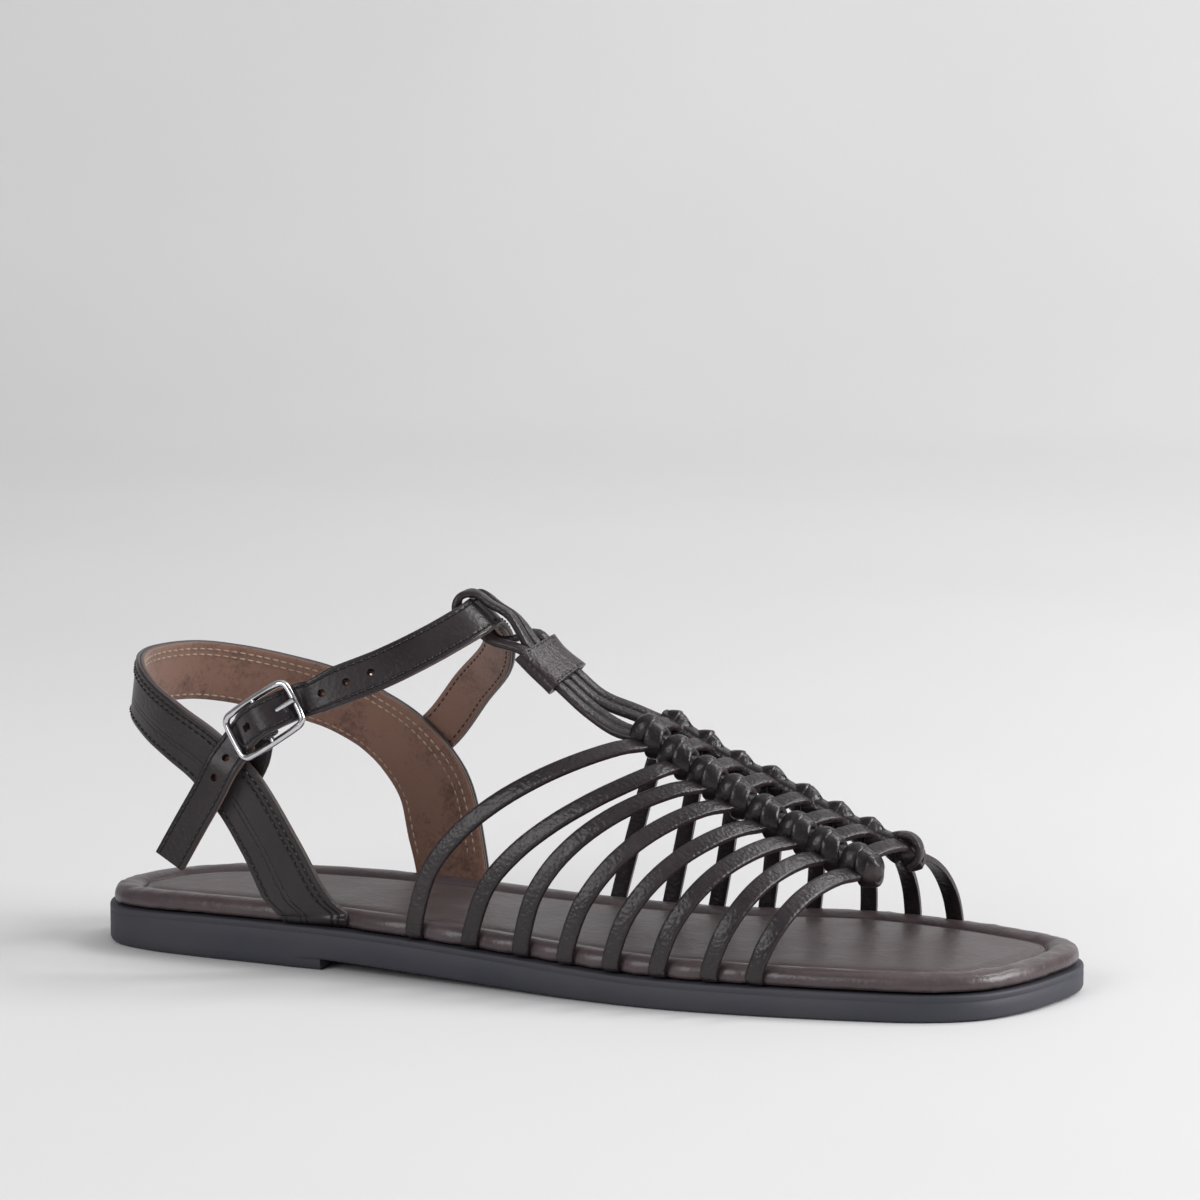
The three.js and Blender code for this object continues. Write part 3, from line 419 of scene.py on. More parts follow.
rim_points, rim_faces = [], []
rim_count = 2 * EDGE_STEPS
for inward, rise in rim_profile:
    for i in range(rim_count):
        base, direction = edge_base[i], edge_inward[i]
        outside = max(0.0, 1.0 - inward / 0.35)
        point = base + direction * (LEDGE + inward * RIM_WIDTH + dips[i] * 1.5 * outside)
        lift = rise * RIM_HEIGHT - 0.35 * dips[i] * (0.3 < rise) * outside
        point.z = rubber_top(point.x) + GAP + lift * (1 - GAP / RIM_HEIGHT)
        if 0.1 < rise:
            point.z += pucker(point.x, point.y, inward)
        rim_points.append(point)
for inset, rise in ((LEDGE + RIM_WIDTH * 0.93, GAP + BOARD), (LEDGE + RIM_WIDTH * 1.6, GAP + BOARD),
                    (LEDGE + RIM_WIDTH * 1.6, GAP + 0.1), (LEDGE + RIM_WIDTH * 0.3, GAP + 0.1)):
    for i in range(rim_count):
        point = edge_base[i] + edge_inward[i] * inset
        point.z = rubber_top(point.x) + rise
        rim_points.append(point)
rim_levels = len(rim_points) // rim_count
for level in range(rim_levels):
    bridge(rim_faces, level * rim_count, (level + 1) % rim_levels * rim_count, rim_count)
rim = add_piece("wrapped_rim", rim_points, rim_faces, rim_leather)
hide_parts("footbed_rim")


# Insole: a padded sock of thin foam under leather, its edge sewn down inside the rim, with
# a fine raised line along the seam in a lighter leather: partly the leather's cut edge, partly a painted highlight.
SOCK = 2.3
sock_leather = shoe_leather("sock_leather", (0.056, 0.041, 0.043), (0.084, 0.064, 0.066), 0.44, grain=0.28,
                            crease=0.3)
SOCK_INSET = LEDGE + RIM_WIDTH * 0.9 + GAP


def sock_level(rise):
    return lambda x: rubber_top(x) + BOARD + 2 * GAP + rise


def sock_top(x, y):
    wave = noise.noise(Vector((x * 0.05, y * 0.05, 3.0))) * 0.22 + noise.noise(Vector((x * 0.3, y * 0.3, 9.0))) * 0.05
    return sock_level(SOCK)(x) + wave - 0.15


sock_rows = [(0.0, 0.0), (0.0, 0.9), (0.12, 1.3), (0.5, 1.62), (1.1, 1.78), (1.35, 1.66), (1.6, 1.70),
             (2.3, 1.95), (3.6, 2.15)]
insole = sole_stack([(SOCK_INSET + inset, sock_level(rise)) for inset, rise in sock_rows],
                    lambda x, y: sock_level(0.0)(x), sock_top)
sock = add_piece("padded_sock", *insole, sock_leather)
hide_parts("insole")

# Lighter than the sock: partly the cut edge's own tone, partly a painted highlight on the raised seam.
lit_seam_leather = shoe_leather("cut_edge_and_highlight", (0.07, 0.05, 0.045), (0.12, 0.09, 0.08), 0.6, grain=0.5, coat=0.0)
SEAM_RADIUS = 0.16
seam_points, seam_faces = [], []
for turn in range(6):
    angle = turn * math.pi / 3
    inset = SOCK_INSET - 0.12 + SEAM_RADIUS * math.cos(angle)
    seam_points.extend(sole_ring(inset, sock_level(1.45 + SEAM_RADIUS * math.sin(angle))))
for turn in range(6):
    bridge(seam_faces, turn * rim_count, (turn + 1) % 6 * rim_count, rim_count)
seam = add_piece("sock_edge", seam_points, seam_faces, lit_seam_leather)


# Front straps: eight narrow straps of folded leather. Each is tucked under the footbed, arches
# over, is knotted twice round the near core thongs, crosses to the far ones and is knotted again.
TUCK = 7.4
CROWN = 63.4
ARCH_START = 3.4
NEAR_ACROSS = -5.0
COLUMN_SPACING = 14.6
COLUMN_SPREAD = 3.6
ARCH_LEAN = 0.5
arch_shapes = {-1: (0.8, 0.8), 1: (1.25, 0.95)}


def edge_point(side, along, inset, rise):
    low, high = (0.0, toe_share) if side < 0 else (1.0, toe_share)
    for _ in range(30):
        middle = (low + high) / 2
        if edge_at(middle, inset).x / SOLE_LENGTH + 0.5 < along:
            low = middle
        else:
            high = middle
    point = edge_at(low, inset)
    point.z = rubber_top(point.x) + rise
    return point


def tucked_end(side, along, thickness, width=1.0):
    """Stations of a strap end that runs out from under the footbed and turns up its rim."""
    flat = GAP + thickness / 2
    out, down = Vector((0, side, 0)), Vector((0, 0, -1))
    rim_inset = LEDGE + GAP - thickness / 4
    bend = thickness * 0.85
    rows = [(TUCK, flat, down), (rim_inset + bend, flat, down),
            (rim_inset + bend * 0.3, flat + bend * 0.3, (out + down).normalized()), (rim_inset, flat + bend, out)]
    return [(edge_point(side, along, inset, rise), way, width, 1.0) for inset, rise, way in rows]


def strap_frames(stations, steps, closed=False):
    """Point, way along, face, side and width at each step of a strap through its stations."""
    points = [station[0] for station in stations]
    spans = len(stations) if closed else len(stations) - 1
    count = spans * steps
    frames = []
    for i in range(count if closed else count + 1):
        index = min(i // steps, spans - 1)
        a, b = stations[index], stations[(index + 1) % len(stations)]
        t = i / steps - index
        way = way_of_line(points, i / count, closed)
        face = a[1].lerp(b[1], t)
        face = (face - way * face.dot(way)).normalized()
        side = way.cross(face)
        level = a[3] + (b[3] - a[3]) * t
        if level > 0:
            lengthways = Vector((1, 0, 0)) - face * face.x
            side = side.lerp(lengthways.normalized(), level)
        frames.append((along_line(points, i / count, closed), way, face, side, a[2] + (b[2] - a[2]) * t))
    return frames


def strap_skin(frames, section, closed=False, thick=None):
    """Skin of a strap: its section, in mm across and out, set at each frame."""
    points, faces, lines = [], [], []
    size = len(section)
    reach = max(abs(across) for across, _ in section)
    for number, (point, way, face, side, width) in enumerate(frames):
        swell = thick[number] if thick else 1.0
        for across, out in section:
            points.append(point + side * (across * width) + face * (out * swell))
            lines.append((number / len(frames), (across / reach + 1) / 2))
    for i in range(len(frames) if closed else len(frames) - 1):
        bridge(faces, i * size, (i + 1) % len(frames) * size, size)
    if not closed:
        faces.append(tuple(range(size)))
        faces.append(tuple(range((len(frames) - 1) * size, len(frames) * size)))
    return points, faces, lines


def folded_section(width, thickness, sides=16):
    """Section of a narrow strap with rolled edges and a slightly crowned face."""
    section = []
    for i in range(sides):
        angle = 2 * math.pi * (i + 0.5) / sides
        c, s = math.cos(angle), math.sin(angle)
        across, out = math.copysign(abs(c) ** 0.55, c), math.copysign(abs(s) ** 0.75, s)
        section.append((across * width / 2, out * thickness / 2))
    return section


def column_place(column, number):
    row = strap_rows[number]
    half = COLUMN_SPACING / 2 + COLUMN_SPREAD * (number / (len(strap_rows) - 1) - 0.5) / 2
    middle = NEAR_ACROSS + COLUMN_SPACING / 2
    near = column == "near"
    point = on_sole(row[1 if near else 3], 0.0, row[2 if near else 4] * CROWN)
    point.y = middle - half if near else middle + half
    return point


def arch_stations(side, along, crown, sweep, hook, steps=7):
    base = edge_point(side, along, LEDGE + GAP - STRAP_THICKNESS / 4, ARCH_START)
    across_bend, up_bend = arch_shapes[side]
    stations = tucked_end(side, along, STRAP_THICKNESS)
    for i in range(1, steps):
        t = i / steps
        bend = t * (1 - t) * (sweep + hook * (1 - 2 * t))
        angle = t * math.pi / 2
        point = Vector((base.x + (crown.x - base.x) * (t + bend),
                        crown.y + (base.y - crown.y) * math.cos(angle) ** across_bend,
                        base.z + (crown.z - base.z) * math.sin(angle) ** up_bend))
        level = crown.z * 0.35
        out = Vector((max(point.z - level, 0) * ARCH_LEAN, point.y, point.z - level)).normalized()
        stations.append((point, out, 1.0, 0.0))
    return stations


columns = {name: [column_place(name, i) for i in range(len(strap_rows))] for name in ("near", "far")}
PITCH = 1 / (len(strap_rows) - 1)


def column_at(column, share):
    inside = min(max(share, 0.0), 1.0)
    points = columns[column]
    way = way_of_line(points, inside)
    length = sum((b - a).length for a, b in zip(points, points[1:]))
    centre = along_line(points, inside) + way * (share - inside) * length
    axis = way.lerp(Vector((1, 0, 0)), 0.45).normalized()
    across = Vector((0, 1, 0))
    return centre, axis, across, axis.cross(across).normalized()


def crowned_section(width, thickness, crown, bevel=0.25):
    """Section of a flat strap: a slightly crowned face, crisp edges and a flat back."""
    half = width / 2
    face = [(half * a, thickness / 2 + crown * (1 - a * a)) for a in (-0.86, -0.6, -0.3, 0.0, 0.3, 0.6, 0.86)]
    back = [(half * 0.85, -thickness / 2), (0.0, -thickness / 2), (-half * 0.85, -thickness / 2)]
    edge = thickness / 2 - bevel
    return face + [(half, edge), (half, -edge)] + back + [(-half, -edge), (-half, edge)]


upper_leather = shoe_leather("upper_leather", (0.013, 0.009, 0.011), (0.027, 0.020, 0.023), 0.37, grain=0.8,
                             edge=(0.020, 0.011, 0.013), edge_width=0.06)
# A darker copy of the strap leather, for the knots, the cores and the hole walls: painted shade in the tight turns
# and in the holes.
painted_shade_leather = shoe_leather("painted_shade_leather", (0.006, 0.004, 0.005), (0.016, 0.011, 0.013), 0.33, grain=0.5,
                            crease=0.3, edge=(0.040, 0.028, 0.027), edge_width=0.05)
for number, row in enumerate(strap_rows):
    near, far = columns["near"][number], columns["far"][number]
    drop = Vector((0, 0, 1.2))
    lateral = arch_stations(-1, row[0], near - drop, row[6], row[7])
    medial = arch_stations(1, row[5], far - drop, 0.0, 0.0)[::-1]
    crown_out = Vector((ARCH_LEAN, 0, 1)).normalized()
    crossing = [(knot + Vector(shift), crown_out, 1.0, 0.0) for knot, shift in (
        (near, (0, -1.0, -1.4)), (near, (0.6, 2.6, 1.9)), (far, (0.3, -3.2, 1.5)), (far, (0, 0.5, -1.6)))]
    frames = strap_frames(lateral + crossing + medial, 5)
    skin = strap_skin(frames, crowned_section(STRAP_WIDTH, STRAP_THICKNESS - 0.2, 0.14))
    strap = add_piece("front_strap_%d" % (number + 1), *skin[:2], upper_leather, skin[2])
    if number == 0:
        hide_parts("upper")

# Knots: two turns of the strap round the core thongs at each crossing. The heelward turn is
# drawn up short and round, the other lies over its edge and leans back at the top.
KNOT_TALL = {"near": 3.4, "far": 3.1}
KNOT_WIDE = {"near": 2.8, "far": 2.5}
KNOT_TILT = {"near": 0.8, "far": 1.2}
KNOT_BAND = 4.5
BAND_THICKNESS = 1.3
CORE_WIDTH = 5.4
LOBE_WIDTH = 8.0
random.seed(4)


def knot_turn(column, number, turn):
    """One turn of a knot as a closed flat band round its column, leaning so that two turns make a ridge."""
    share = number * PITCH + PITCH / 2 * (turn - 0.5)
    centre, axis, across, up = column_at(column, share)
    near = column == "near"
    tall = KNOT_TALL[column] + (0.35 if turn else 0.0) + random.uniform(-0.12, 0.12)
    wide = KNOT_WIDE[column] + (0.3 if turn else 0.0) + random.uniform(-0.1, 0.1)
    lean = (-1.0 if turn else 0.5) + random.uniform(-0.2, 0.2)
    tilt = (0.42 if turn else -0.32) * KNOT_TILT[column]
    roof = 1.0 if near else 0.82
    stations = []
    for step in range(12):
        angle = math.radians(180 - 30 * step)
        c, s = math.cos(angle), math.sin(angle)
        radial = (across * c * tall + up * s * wide).normalized() + axis * tilt
        drawn = 1 if step % 3 == 0 else roof
        point = centre + across * c * wide * drawn
        point += up * s * tall * drawn
        point += axis * (lean * s + 0.35 * c)
        stations.append((point, radial.normalized(), 1.0, 0.0))
    frames = strap_frames(stations, 4, True)
    crown = 0.75 if near and not turn else 0.22
    return strap_skin(frames, crowned_section(KNOT_BAND, BAND_THICKNESS, crown), closed=True)


for column in ("near", "far"):
    points, faces, lines = [], [], []
    for number in range(len(strap_rows)):
        for turn in (0, 1):
            skin = knot_turn(column, number, turn)
            faces.extend(tuple(i + len(points) for i in face) for face in skin[1])
            points.extend(skin[0])
            lines.extend(skin[2])
    knots = add_piece("knots_" + column, points, faces, painted_shade_leather, lines)
    core = [(column_at(column, -0.45 * PITCH + (1 + 0.9 * PITCH) * i / 40)) for i in range(41)]
    frames = [(centre, axis, up, across, 1.0) for centre, axis, across, up in core]
    skin = strap_skin(frames, folded_section(CORE_WIDTH, CORE_WIDTH, 16))
    piece = add_piece("core_thong_" + column, *skin[:2], painted_shade_leather, skin[2])

centre, axis, across, up = column_at("far", 1.0)
end_loop = [(centre + axis * a + up * b - across * 1.2, (axis * (a - 1.0) + up * b).normalized(), 1.0, 0.0)
            for a, b in ((-1.5, 3.6), (1.0, 3.9), (3.2, 2.9), (4.4, 0.6), (4.0, -2.0), (2.4, -3.6))]
skin = strap_skin(strap_frames(end_loop, 6), crowned_section(3.4, 1.5, 0.2))
dome = [column_at("near", 1 + PITCH * (0.25 + 0.4 * i / 8)) + (math.sqrt(1 - (i / 8.2) ** 2),)
        for i in range(9)]
toe_lobe = strap_skin([(place, way, out, side, size) for place, way, side, out, size in dome],
                      folded_section(LOBE_WIDTH, LOBE_WIDTH, 20), thick=[row[4] for row in dome])
lobe = add_piece("near_lobe", *toe_lobe[:2], painted_shade_leather, toe_lobe[2])
toe_loop = add_piece("toe_loop", *skin[:2], upper_leather, skin[2])


# Ankle strap: two layers of leather sewn together along both edges, punched, sewn to the
# outer face of the medial leg, passed through the thongs' loops and the buckle to its cut tail.
ANKLE_HEIGHT = 88.0
ANKLE_WIDTH = 9.9
BUCKLED_SHARE = 0.88
ANKLE_THICKNESS = 2.2
BUCKLE_LENGTH = 21.8
BUCKLE_WIRE = 2.0
BUCKLE_DEPTH = 1.8
BUCKLE_CORNER = 3.2
BUCKLE_BOW = 0.6
BAR_RADIUS = 0.7
PRONG_RADIUS = 0.65
CHAPE_THICKNESS = 1.3
CHAPE_WIDTH = 8.8
ankle_rows = [
    (0.267, 0.775, 0.523, 1.16), (0.299, 0.775, 0.604, 1.16), (0.336, 0.68, 0.726, 1.14), (0.383, 0.433, 0.852, 1.06),
    (0.4, 0.208, 0.955, 1), (0.404, -0.03, 1.008, 1), (0.402, -0.235, 0.993, 1), (0.372, -0.457, 0.932, 1),
    (0.336, -0.623, 0.874, 1), (0.298, -0.765, 0.826, 1),
]
tail_rows = [
    (0.182, -0.885, 0.585), (0.168, -0.89, 0.51), (0.149, -0.905, 0.415), (0.128, -0.93, 0.305),
]
ankle_axis = on_sole(0.33, -0.03, 0.727 * ANKLE_HEIGHT)
hole_places = [-4.8, -3.82, -2.85, 0.5, 2.86, 3.66]
HOLE_PITCH = 6.7
buckle_centre = on_sole(0.2288, -0.908, 0.726 * ANKLE_HEIGHT)
buckle_forward = Vector((math.cos(math.radians(33)), 0, math.sin(math.radians(33))))
buckle_out = Vector((0, -1, 0.14))
buckle_out = (buckle_out - buckle_forward * buckle_out.dot(buckle_forward)).normalized()
buckle_across = buckle_forward.cross(buckle_out).normalized()


def at_buckle(forward, across, out):
    return buckle_centre + buckle_forward * forward + buckle_across * across + buckle_out * out


buckle_width = ANKLE_WIDTH * BUCKLED_SHARE + 4 * GAP + 2 * BUCKLE_WIRE
bar_reach = BUCKLE_LENGTH / 2 - BUCKLE_WIRE / 2
sleeve_radius = BAR_RADIUS + GAP + CHAPE_THICKNESS
over_bar = sleeve_radius + GAP + ANKLE_THICKNESS / 2
under_bar = -(BUCKLE_DEPTH / 2 + 2 * GAP + ANKLE_THICKNESS * 0.9 + BUCKLE_BOW)


def ankle_stations():
    rows = []
    for along, across, up, width in ankle_rows:
        point = on_sole(along, across, up * ANKLE_HEIGHT)
        rows.append((point, (point - ankle_axis).normalized(), width, 0.0))
    for i in (0, 1):
        rows[i] = (rows[i][0], Vector((0, 1, 0)), *rows[i][2:])
    for i, share in ((-1, 0.9), (-2, 0.6), (-3, 0.3)):
        rows[i] = (rows[i][0], rows[i][1].lerp(buckle_out, share), *rows[i][2:])
    threaded = [(bar_reach + ANKLE_THICKNESS * 1.8, ANKLE_THICKNESS * 0.5, under_bar), (bar_reach, 0, under_bar),
                (bar_reach * 0.45, 0, over_bar * 0.42), (0, 0, over_bar), (-bar_reach * 0.45, 0, over_bar * 0.42),
                (-bar_reach, 0, under_bar)]
    rows += [(at_buckle(*place), buckle_out, BUCKLED_SHARE, 0.0) for place in threaded]
    tail = Vector((-0.1, -1, 0.05))
    rows += [(on_sole(along, across, up * ANKLE_HEIGHT), tail, BUCKLED_SHARE, 0.0) for along, across, up in tail_rows]
    return rows


ankle = strap_frames(ankle_stations(), 8)
for start in range(6):
    point, way, face, side, width = ankle[start]
    ankle[start] = (point, way, face, side, width * (0.55 + 0.45 * math.sin(start / 6 * math.pi / 2)))


def cut_section(width, low, high, bevel=0.22):
    """Section of one layer of cut leather between two heights, with crisp, slightly worn edges."""
    half = width / 2
    across = [-half + bevel, -half + 0.8, -half * 0.33, half * 0.33, half - 0.8, half - bevel]
    section = [(a, high) for a in across] + [(half, high - bevel), (half, low + bevel)]
    return section + [(a, low) for a in reversed(across)] + [(-half, low + bevel), (-half, high - bevel)]


STITCH_INSET = 1.25
stitch_share = STITCH_INSET / ANKLE_WIDTH
# The stitch rows are pressed lines, darkened in the colour with painted shade.
ankle_leather = shoe_leather("ankle_leather", (0.014, 0.009, 0.011), (0.024, 0.017, 0.020), 0.38, grain=0.35,
                             edge=(0.040, 0.028, 0.028), edge_width=0.025,
                             pressed=((stitch_share, 0.04), (1 - stitch_share, 0.04)))
raw_leather = shoe_leather("raw_edge_leather", (0.060, 0.045, 0.040), (0.120, 0.092, 0.080), 0.50, grain=0.4,
                           coat=0.0)


def suede_lining():
    """Brown suede: a cloudy, flecked tone and a short nap."""
    material, shader, node, join = new_finish("suede_lining")
    place = node("ShaderNodeTexCoord").outputs["Object"]
    cloud = node("ShaderNodeTexNoise", [("Vector", place), ("Scale", 90.0), ("Detail", 8.0), ("Roughness", 0.7)])
    nap = node("ShaderNodeTexNoise", [("Vector", place), ("Scale", 1600.0), ("Detail", 6.0), ("Roughness", 0.8)])
    fleck = node("ShaderNodeTexNoise", [("Vector", place), ("Scale", 900.0), ("Detail", 6.0), ("Roughness", 0.9)])
    tone = node("ShaderNodeMath", [(0, cloud.outputs["Fac"]), (1, fleck.outputs["Fac"])], operation="ADD")
    join(ramp(node, tone.outputs[0], [(0.75, (0.085, 0.040, 0.029)), (1.2, (0.215, 0.115, 0.082))]), "Base Color")
    bump = node("ShaderNodeBump", [("Height", nap.outputs["Fac"]), ("Strength", 0.5), ("Distance", 0.0003)])
    join(bump.outputs[0], "Normal")
    shader.inputs["Roughness"].default_value = 0.88
    shader.inputs["Sheen Weight"].default_value = 0.35
    shader.inputs["Sheen Roughness"].default_value = 0.5
    return material


suede = suede_lining()


def waxed_thread(name, dark, light):
    """Twisted waxed thread, a little uneven in its dye."""
    material, shader, node, join = new_finish(name)
    place = node("ShaderNodeTexCoord").outputs["Object"]
    ply = node("ShaderNodeTexNoise", [("Vector", place), ("Scale", 120.0), ("Detail", 3.0)])
    join(ramp(node, ply.outputs["Fac"], [(0.2, dark), (0.8, light)]), "Base Color")
    bump = node("ShaderNodeBump", [("Height", ply.outputs["Fac"]), ("Strength", 0.4), ("Distance", 0.0001)])
    join(bump.outputs[0], "Normal")
    shader.inputs["Roughness"].default_value = 0.45
    return material


black_thread = waxed_thread("black_thread", (0.004, 0.003, 0.004), (0.012, 0.010, 0.011))
cream_thread = waxed_thread("cream_thread", (0.24, 0.17, 0.12), (0.48, 0.39, 0.31))


def seam_line(frames, across, out, start=0.0, end=None):
    """Points and outward ways of a row of stitches that follows a strap."""
    line = []
    passed = 0.0
    for i, (point, way, face, side, width) in enumerate(frames):
        if i:
            passed += (point - frames[i - 1][0]).length
        if passed >= start and (end is None or passed <= end):
            line.append((point + side * (across(passed, width) if callable(across) else across) + face * out,
                         face if out > 0 else -face))
    return line


def sew(name, lines, thread, pitch=2.3, size=0.27):
    """One piece with all the stitches of some rows, each a short raised bead of thread."""
    points, faces = [], []
    for line in lines:
        lengths = [0.0]
        for a, b in zip(line, line[1:]):
            lengths.append(lengths[-1] + (b[0] - a[0]).length)

        def place(distance):
            i = 0
            while i < len(lengths) - 2 and lengths[i + 1] < distance:
                i += 1
            t = (distance - lengths[i]) / max(lengths[i + 1] - lengths[i], 1e-6)
            return line[i][0].lerp(line[i + 1][0], t), line[i][1].lerp(line[i + 1][1], t).normalized()

        count = int(lengths[-1] / pitch)
        for number in range(count):
            start = number * pitch + pitch * 0.12
            rings = []
            for step in range(5):
                centre, up = place(start + pitch * 0.76 * step / 4)
                ahead = (place(start + pitch * 0.76)[0] - place(start)[0]).normalized()
                aside = ahead.cross(up).normalized()
                arch = math.sin(math.pi * step / 4)
                centre = centre + up * (size * (1.0 * arch - 0.55))
                radius = size * (0.55 + 0.45 * arch)
                rings.append([centre + aside * math.cos(a) * radius + up * math.sin(a) * radius
                              for a in (math.pi * k / 3 for k in range(6))])
            base = len(points)
            points.extend(p for ring in rings for p in ring)
            for step in range(4):
                bridge(faces, base + step * 6, base + step * 6 + 6, 6)
            faces.append(tuple(range(base, base + 6)))
            faces.append(tuple(range(base + 24, base + 30)))
    piece = add_piece(name, points, faces, thread)
    return piece


def punch(piece, places, radius):
    """Cuts round holes through one layer of a strap, with walls in the darker leather as painted shade in the holes.
    """
    cutter = bmesh.new()
    for point, face in places:
        turn = Vector((0, 0, 1)).rotation_difference(face).to_matrix().to_4x4()
        turn.translation = point * 0.001
        bmesh.ops.create_cone(cutter, cap_ends=True, segments=24, radius1=radius * 0.001, radius2=radius * 0.001,
                              depth=0.008, matrix=turn)
    mesh = bpy.data.meshes.new("punch")
    cutter.to_mesh(mesh)
    cutter.free()
    mesh.materials.append(painted_shade_leather)
    tool = bpy.data.objects.new("punch", mesh)
    bpy.context.scene.collection.objects.link(tool)
    cut = piece.modifiers.new("holes", "BOOLEAN")
    cut.operation = "DIFFERENCE"
    cut.solver = "EXACT"
    cut.use_self = True
    cut.material_mode = "TRANSFER"
    cut.object = tool
    shape = bpy.data.meshes.new_from_object(piece.evaluated_get(bpy.context.evaluated_depsgraph_get()))
    piece.modifiers.clear()
    piece.data = shape
    bpy.data.objects.remove(tool)


def length_at(frames, target):
    """Length along a strap at which it comes nearest to a point."""
    passed, best = 0.0, (1e9, 0.0)
    for i, piece_frame in enumerate(frames):
        if i:
            passed += (piece_frame[0] - frames[i - 1][0]).length
        best = min(best, ((piece_frame[0] - target).length, passed))
    return best[1]


def frame_at(frames, length):
    """Place and outward face of a strap at a length along it."""
    passed = 0.0
    for a, b in zip(frames, frames[1:]):
        step = (b[0] - a[0]).length
        if passed + step >= length:
            return a[0].lerp(b[0], (length - passed) / step), b[2]
        passed += step
    return frames[-1][0], frames[-1][2]


bar_length = length_at(ankle, at_buckle(0, 0, over_bar))
PRONG_HOLE_PLACE = 1.9
HOLE_RADIUS = 1.0
LINING_HOLE_RADIUS = 0.3
holes = [frame_at(ankle, bar_length + place * HOLE_PITCH) for place in hole_places]
holes.append(frame_at(ankle, bar_length + PRONG_HOLE_PLACE))
for name, section, material in (
        ("ankle_strap_face", cut_section(ANKLE_WIDTH, 0.05, ANKLE_THICKNESS / 2), ankle_leather),
        ("ankle_strap_backing", cut_section(ANKLE_WIDTH - 0.1, -0.85, 0.1), raw_leather),
        ("ankle_strap_lining", cut_section(ANKLE_WIDTH - 0.4, -ANKLE_THICKNESS / 2, -0.8, 0.1), suede)):
    skin = strap_skin(ankle, section)
    layer = add_piece(name, *skin[:2], material, skin[2])
    punch(layer, holes, LINING_HOLE_RADIUS if material is suede else HOLE_RADIUS)
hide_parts("ankle_strap")
ankle_rows_sewn, lining_rows_sewn = [], []
for edge in (-1, 1):
    beside = lambda passed, width, edge=edge: edge * (ANKLE_WIDTH / 2 - STITCH_INSET) * width
    ankle_rows_sewn.append(seam_line(ankle, beside, ANKLE_THICKNESS / 2, 6.0))
    lining_rows_sewn.append(seam_line(ankle, beside, -ANKLE_THICKNESS / 2, 2.0, 70.0))
sew("ankle_strap_stitches", ankle_rows_sewn, black_thread, 2.1, 0.29)
sew("ankle_lining_stitches", lining_rows_sewn, black_thread, 2.1, 0.2)


# Instep T: two long thongs of folded leather. Each rises from its knotted column, loops over
# the ankle strap and comes back down, so four lie side by side under the keeper.
THONG_WIDTH = 3.3
THONG_THICKNESS = 1.9
instep_rows = [
    (0.553, 0.008, 0.715, 1.5), (0.518, 0.001, 0.76, 1.05), (0.489, -0.011, 0.828, 1),
    (0.468, -0.02, 0.877, 1), (0.451, -0.025, 0.928, 1),
]
instep_across = Vector((0, math.cos(math.radians(18)), math.sin(math.radians(18))))


def instep_point(row, offset):
    return on_sole(row[0], row[1], row[2] * ANKLE_HEIGHT) + instep_across * offset


def instep_out(index):
    ahead = instep_point(instep_rows[max(index - 1, 0)], 0)
    behind = instep_point(instep_rows[min(index + 1, len(instep_rows) - 1)], 0)
    return -(behind - ahead).normalized().cross(instep_across).normalized()


cad_ankle = strap_frames(ankle_stations(), 2)


def ankle_crossing(across):
    for a, b in zip(cad_ankle, cad_ankle[1:]):
        if (a[0].y - across) * (b[0].y - across) <= 0 and a[0].x > 0.35 * SOLE_LENGTH - SOLE_LENGTH / 2:
            t = (across - a[0].y) / (b[0].y - a[0].y)
            return a[0].lerp(b[0], t), a[2].lerp(b[2], t).normalized(), a[3].lerp(b[3], t).normalized()
    return cad_ankle[0][0], cad_ankle[0][2], cad_ankle[0][3]


def thong_stations(column):
    side = -1 if column == "near" else 1
    pair, half = side * THONG_WIDTH, THONG_WIDTH / 2

    def leg(offset):
        return [(instep_point(row, pair * row[3] + side * offset), instep_out(i), 1.0, 0.0)
                for i, row in enumerate(instep_rows)]

    def root(offset):
        return columns[column][0] + instep_across * side * offset * 0.6

    clear = ANKLE_THICKNESS / 2 + GAP + THONG_THICKNESS / 2
    edge = ANKLE_WIDTH / 2 + GAP + THONG_THICKNESS / 2
    loop = []
    for across, out, under in ((-0.95, 1.8, 0), (0, 1.4, 0), (0.82, 1.1, 0), (1.12, 0, 0.5),
                               (0.82, -1.1, 1), (0, -1.12, 1), (-0.95, -1.12, 1)):
        offset = pair * 1.25 + side * half * (2 * under - 1)
        point, face, aside = ankle_crossing(instep_point(instep_rows[4], 0).y + offset)
        way = face * clear * out + (aside * edge * across if under == 0.5 else Vector())
        loop.append((point + aside * edge * across + face * clear * out, way.normalized(), 1.0, 0.0))
    up = [(root(-half), instep_out(0), 1.0, 0.0)] + leg(-half)
    down = [(point, -out, width, level) for point, out, width, level in
            [(root(half), instep_out(0), 1.0, 0.0)] + leg(half)][::-1]
    return up + loop + down


for column in ("near", "far"):
    frames = strap_frames(thong_stations(column), 6)
    skin = strap_skin(frames, folded_section(THONG_WIDTH * 0.98, THONG_THICKNESS))
    thong = add_piece("instep_thong_" + column, *skin[:2], upper_leather, skin[2])


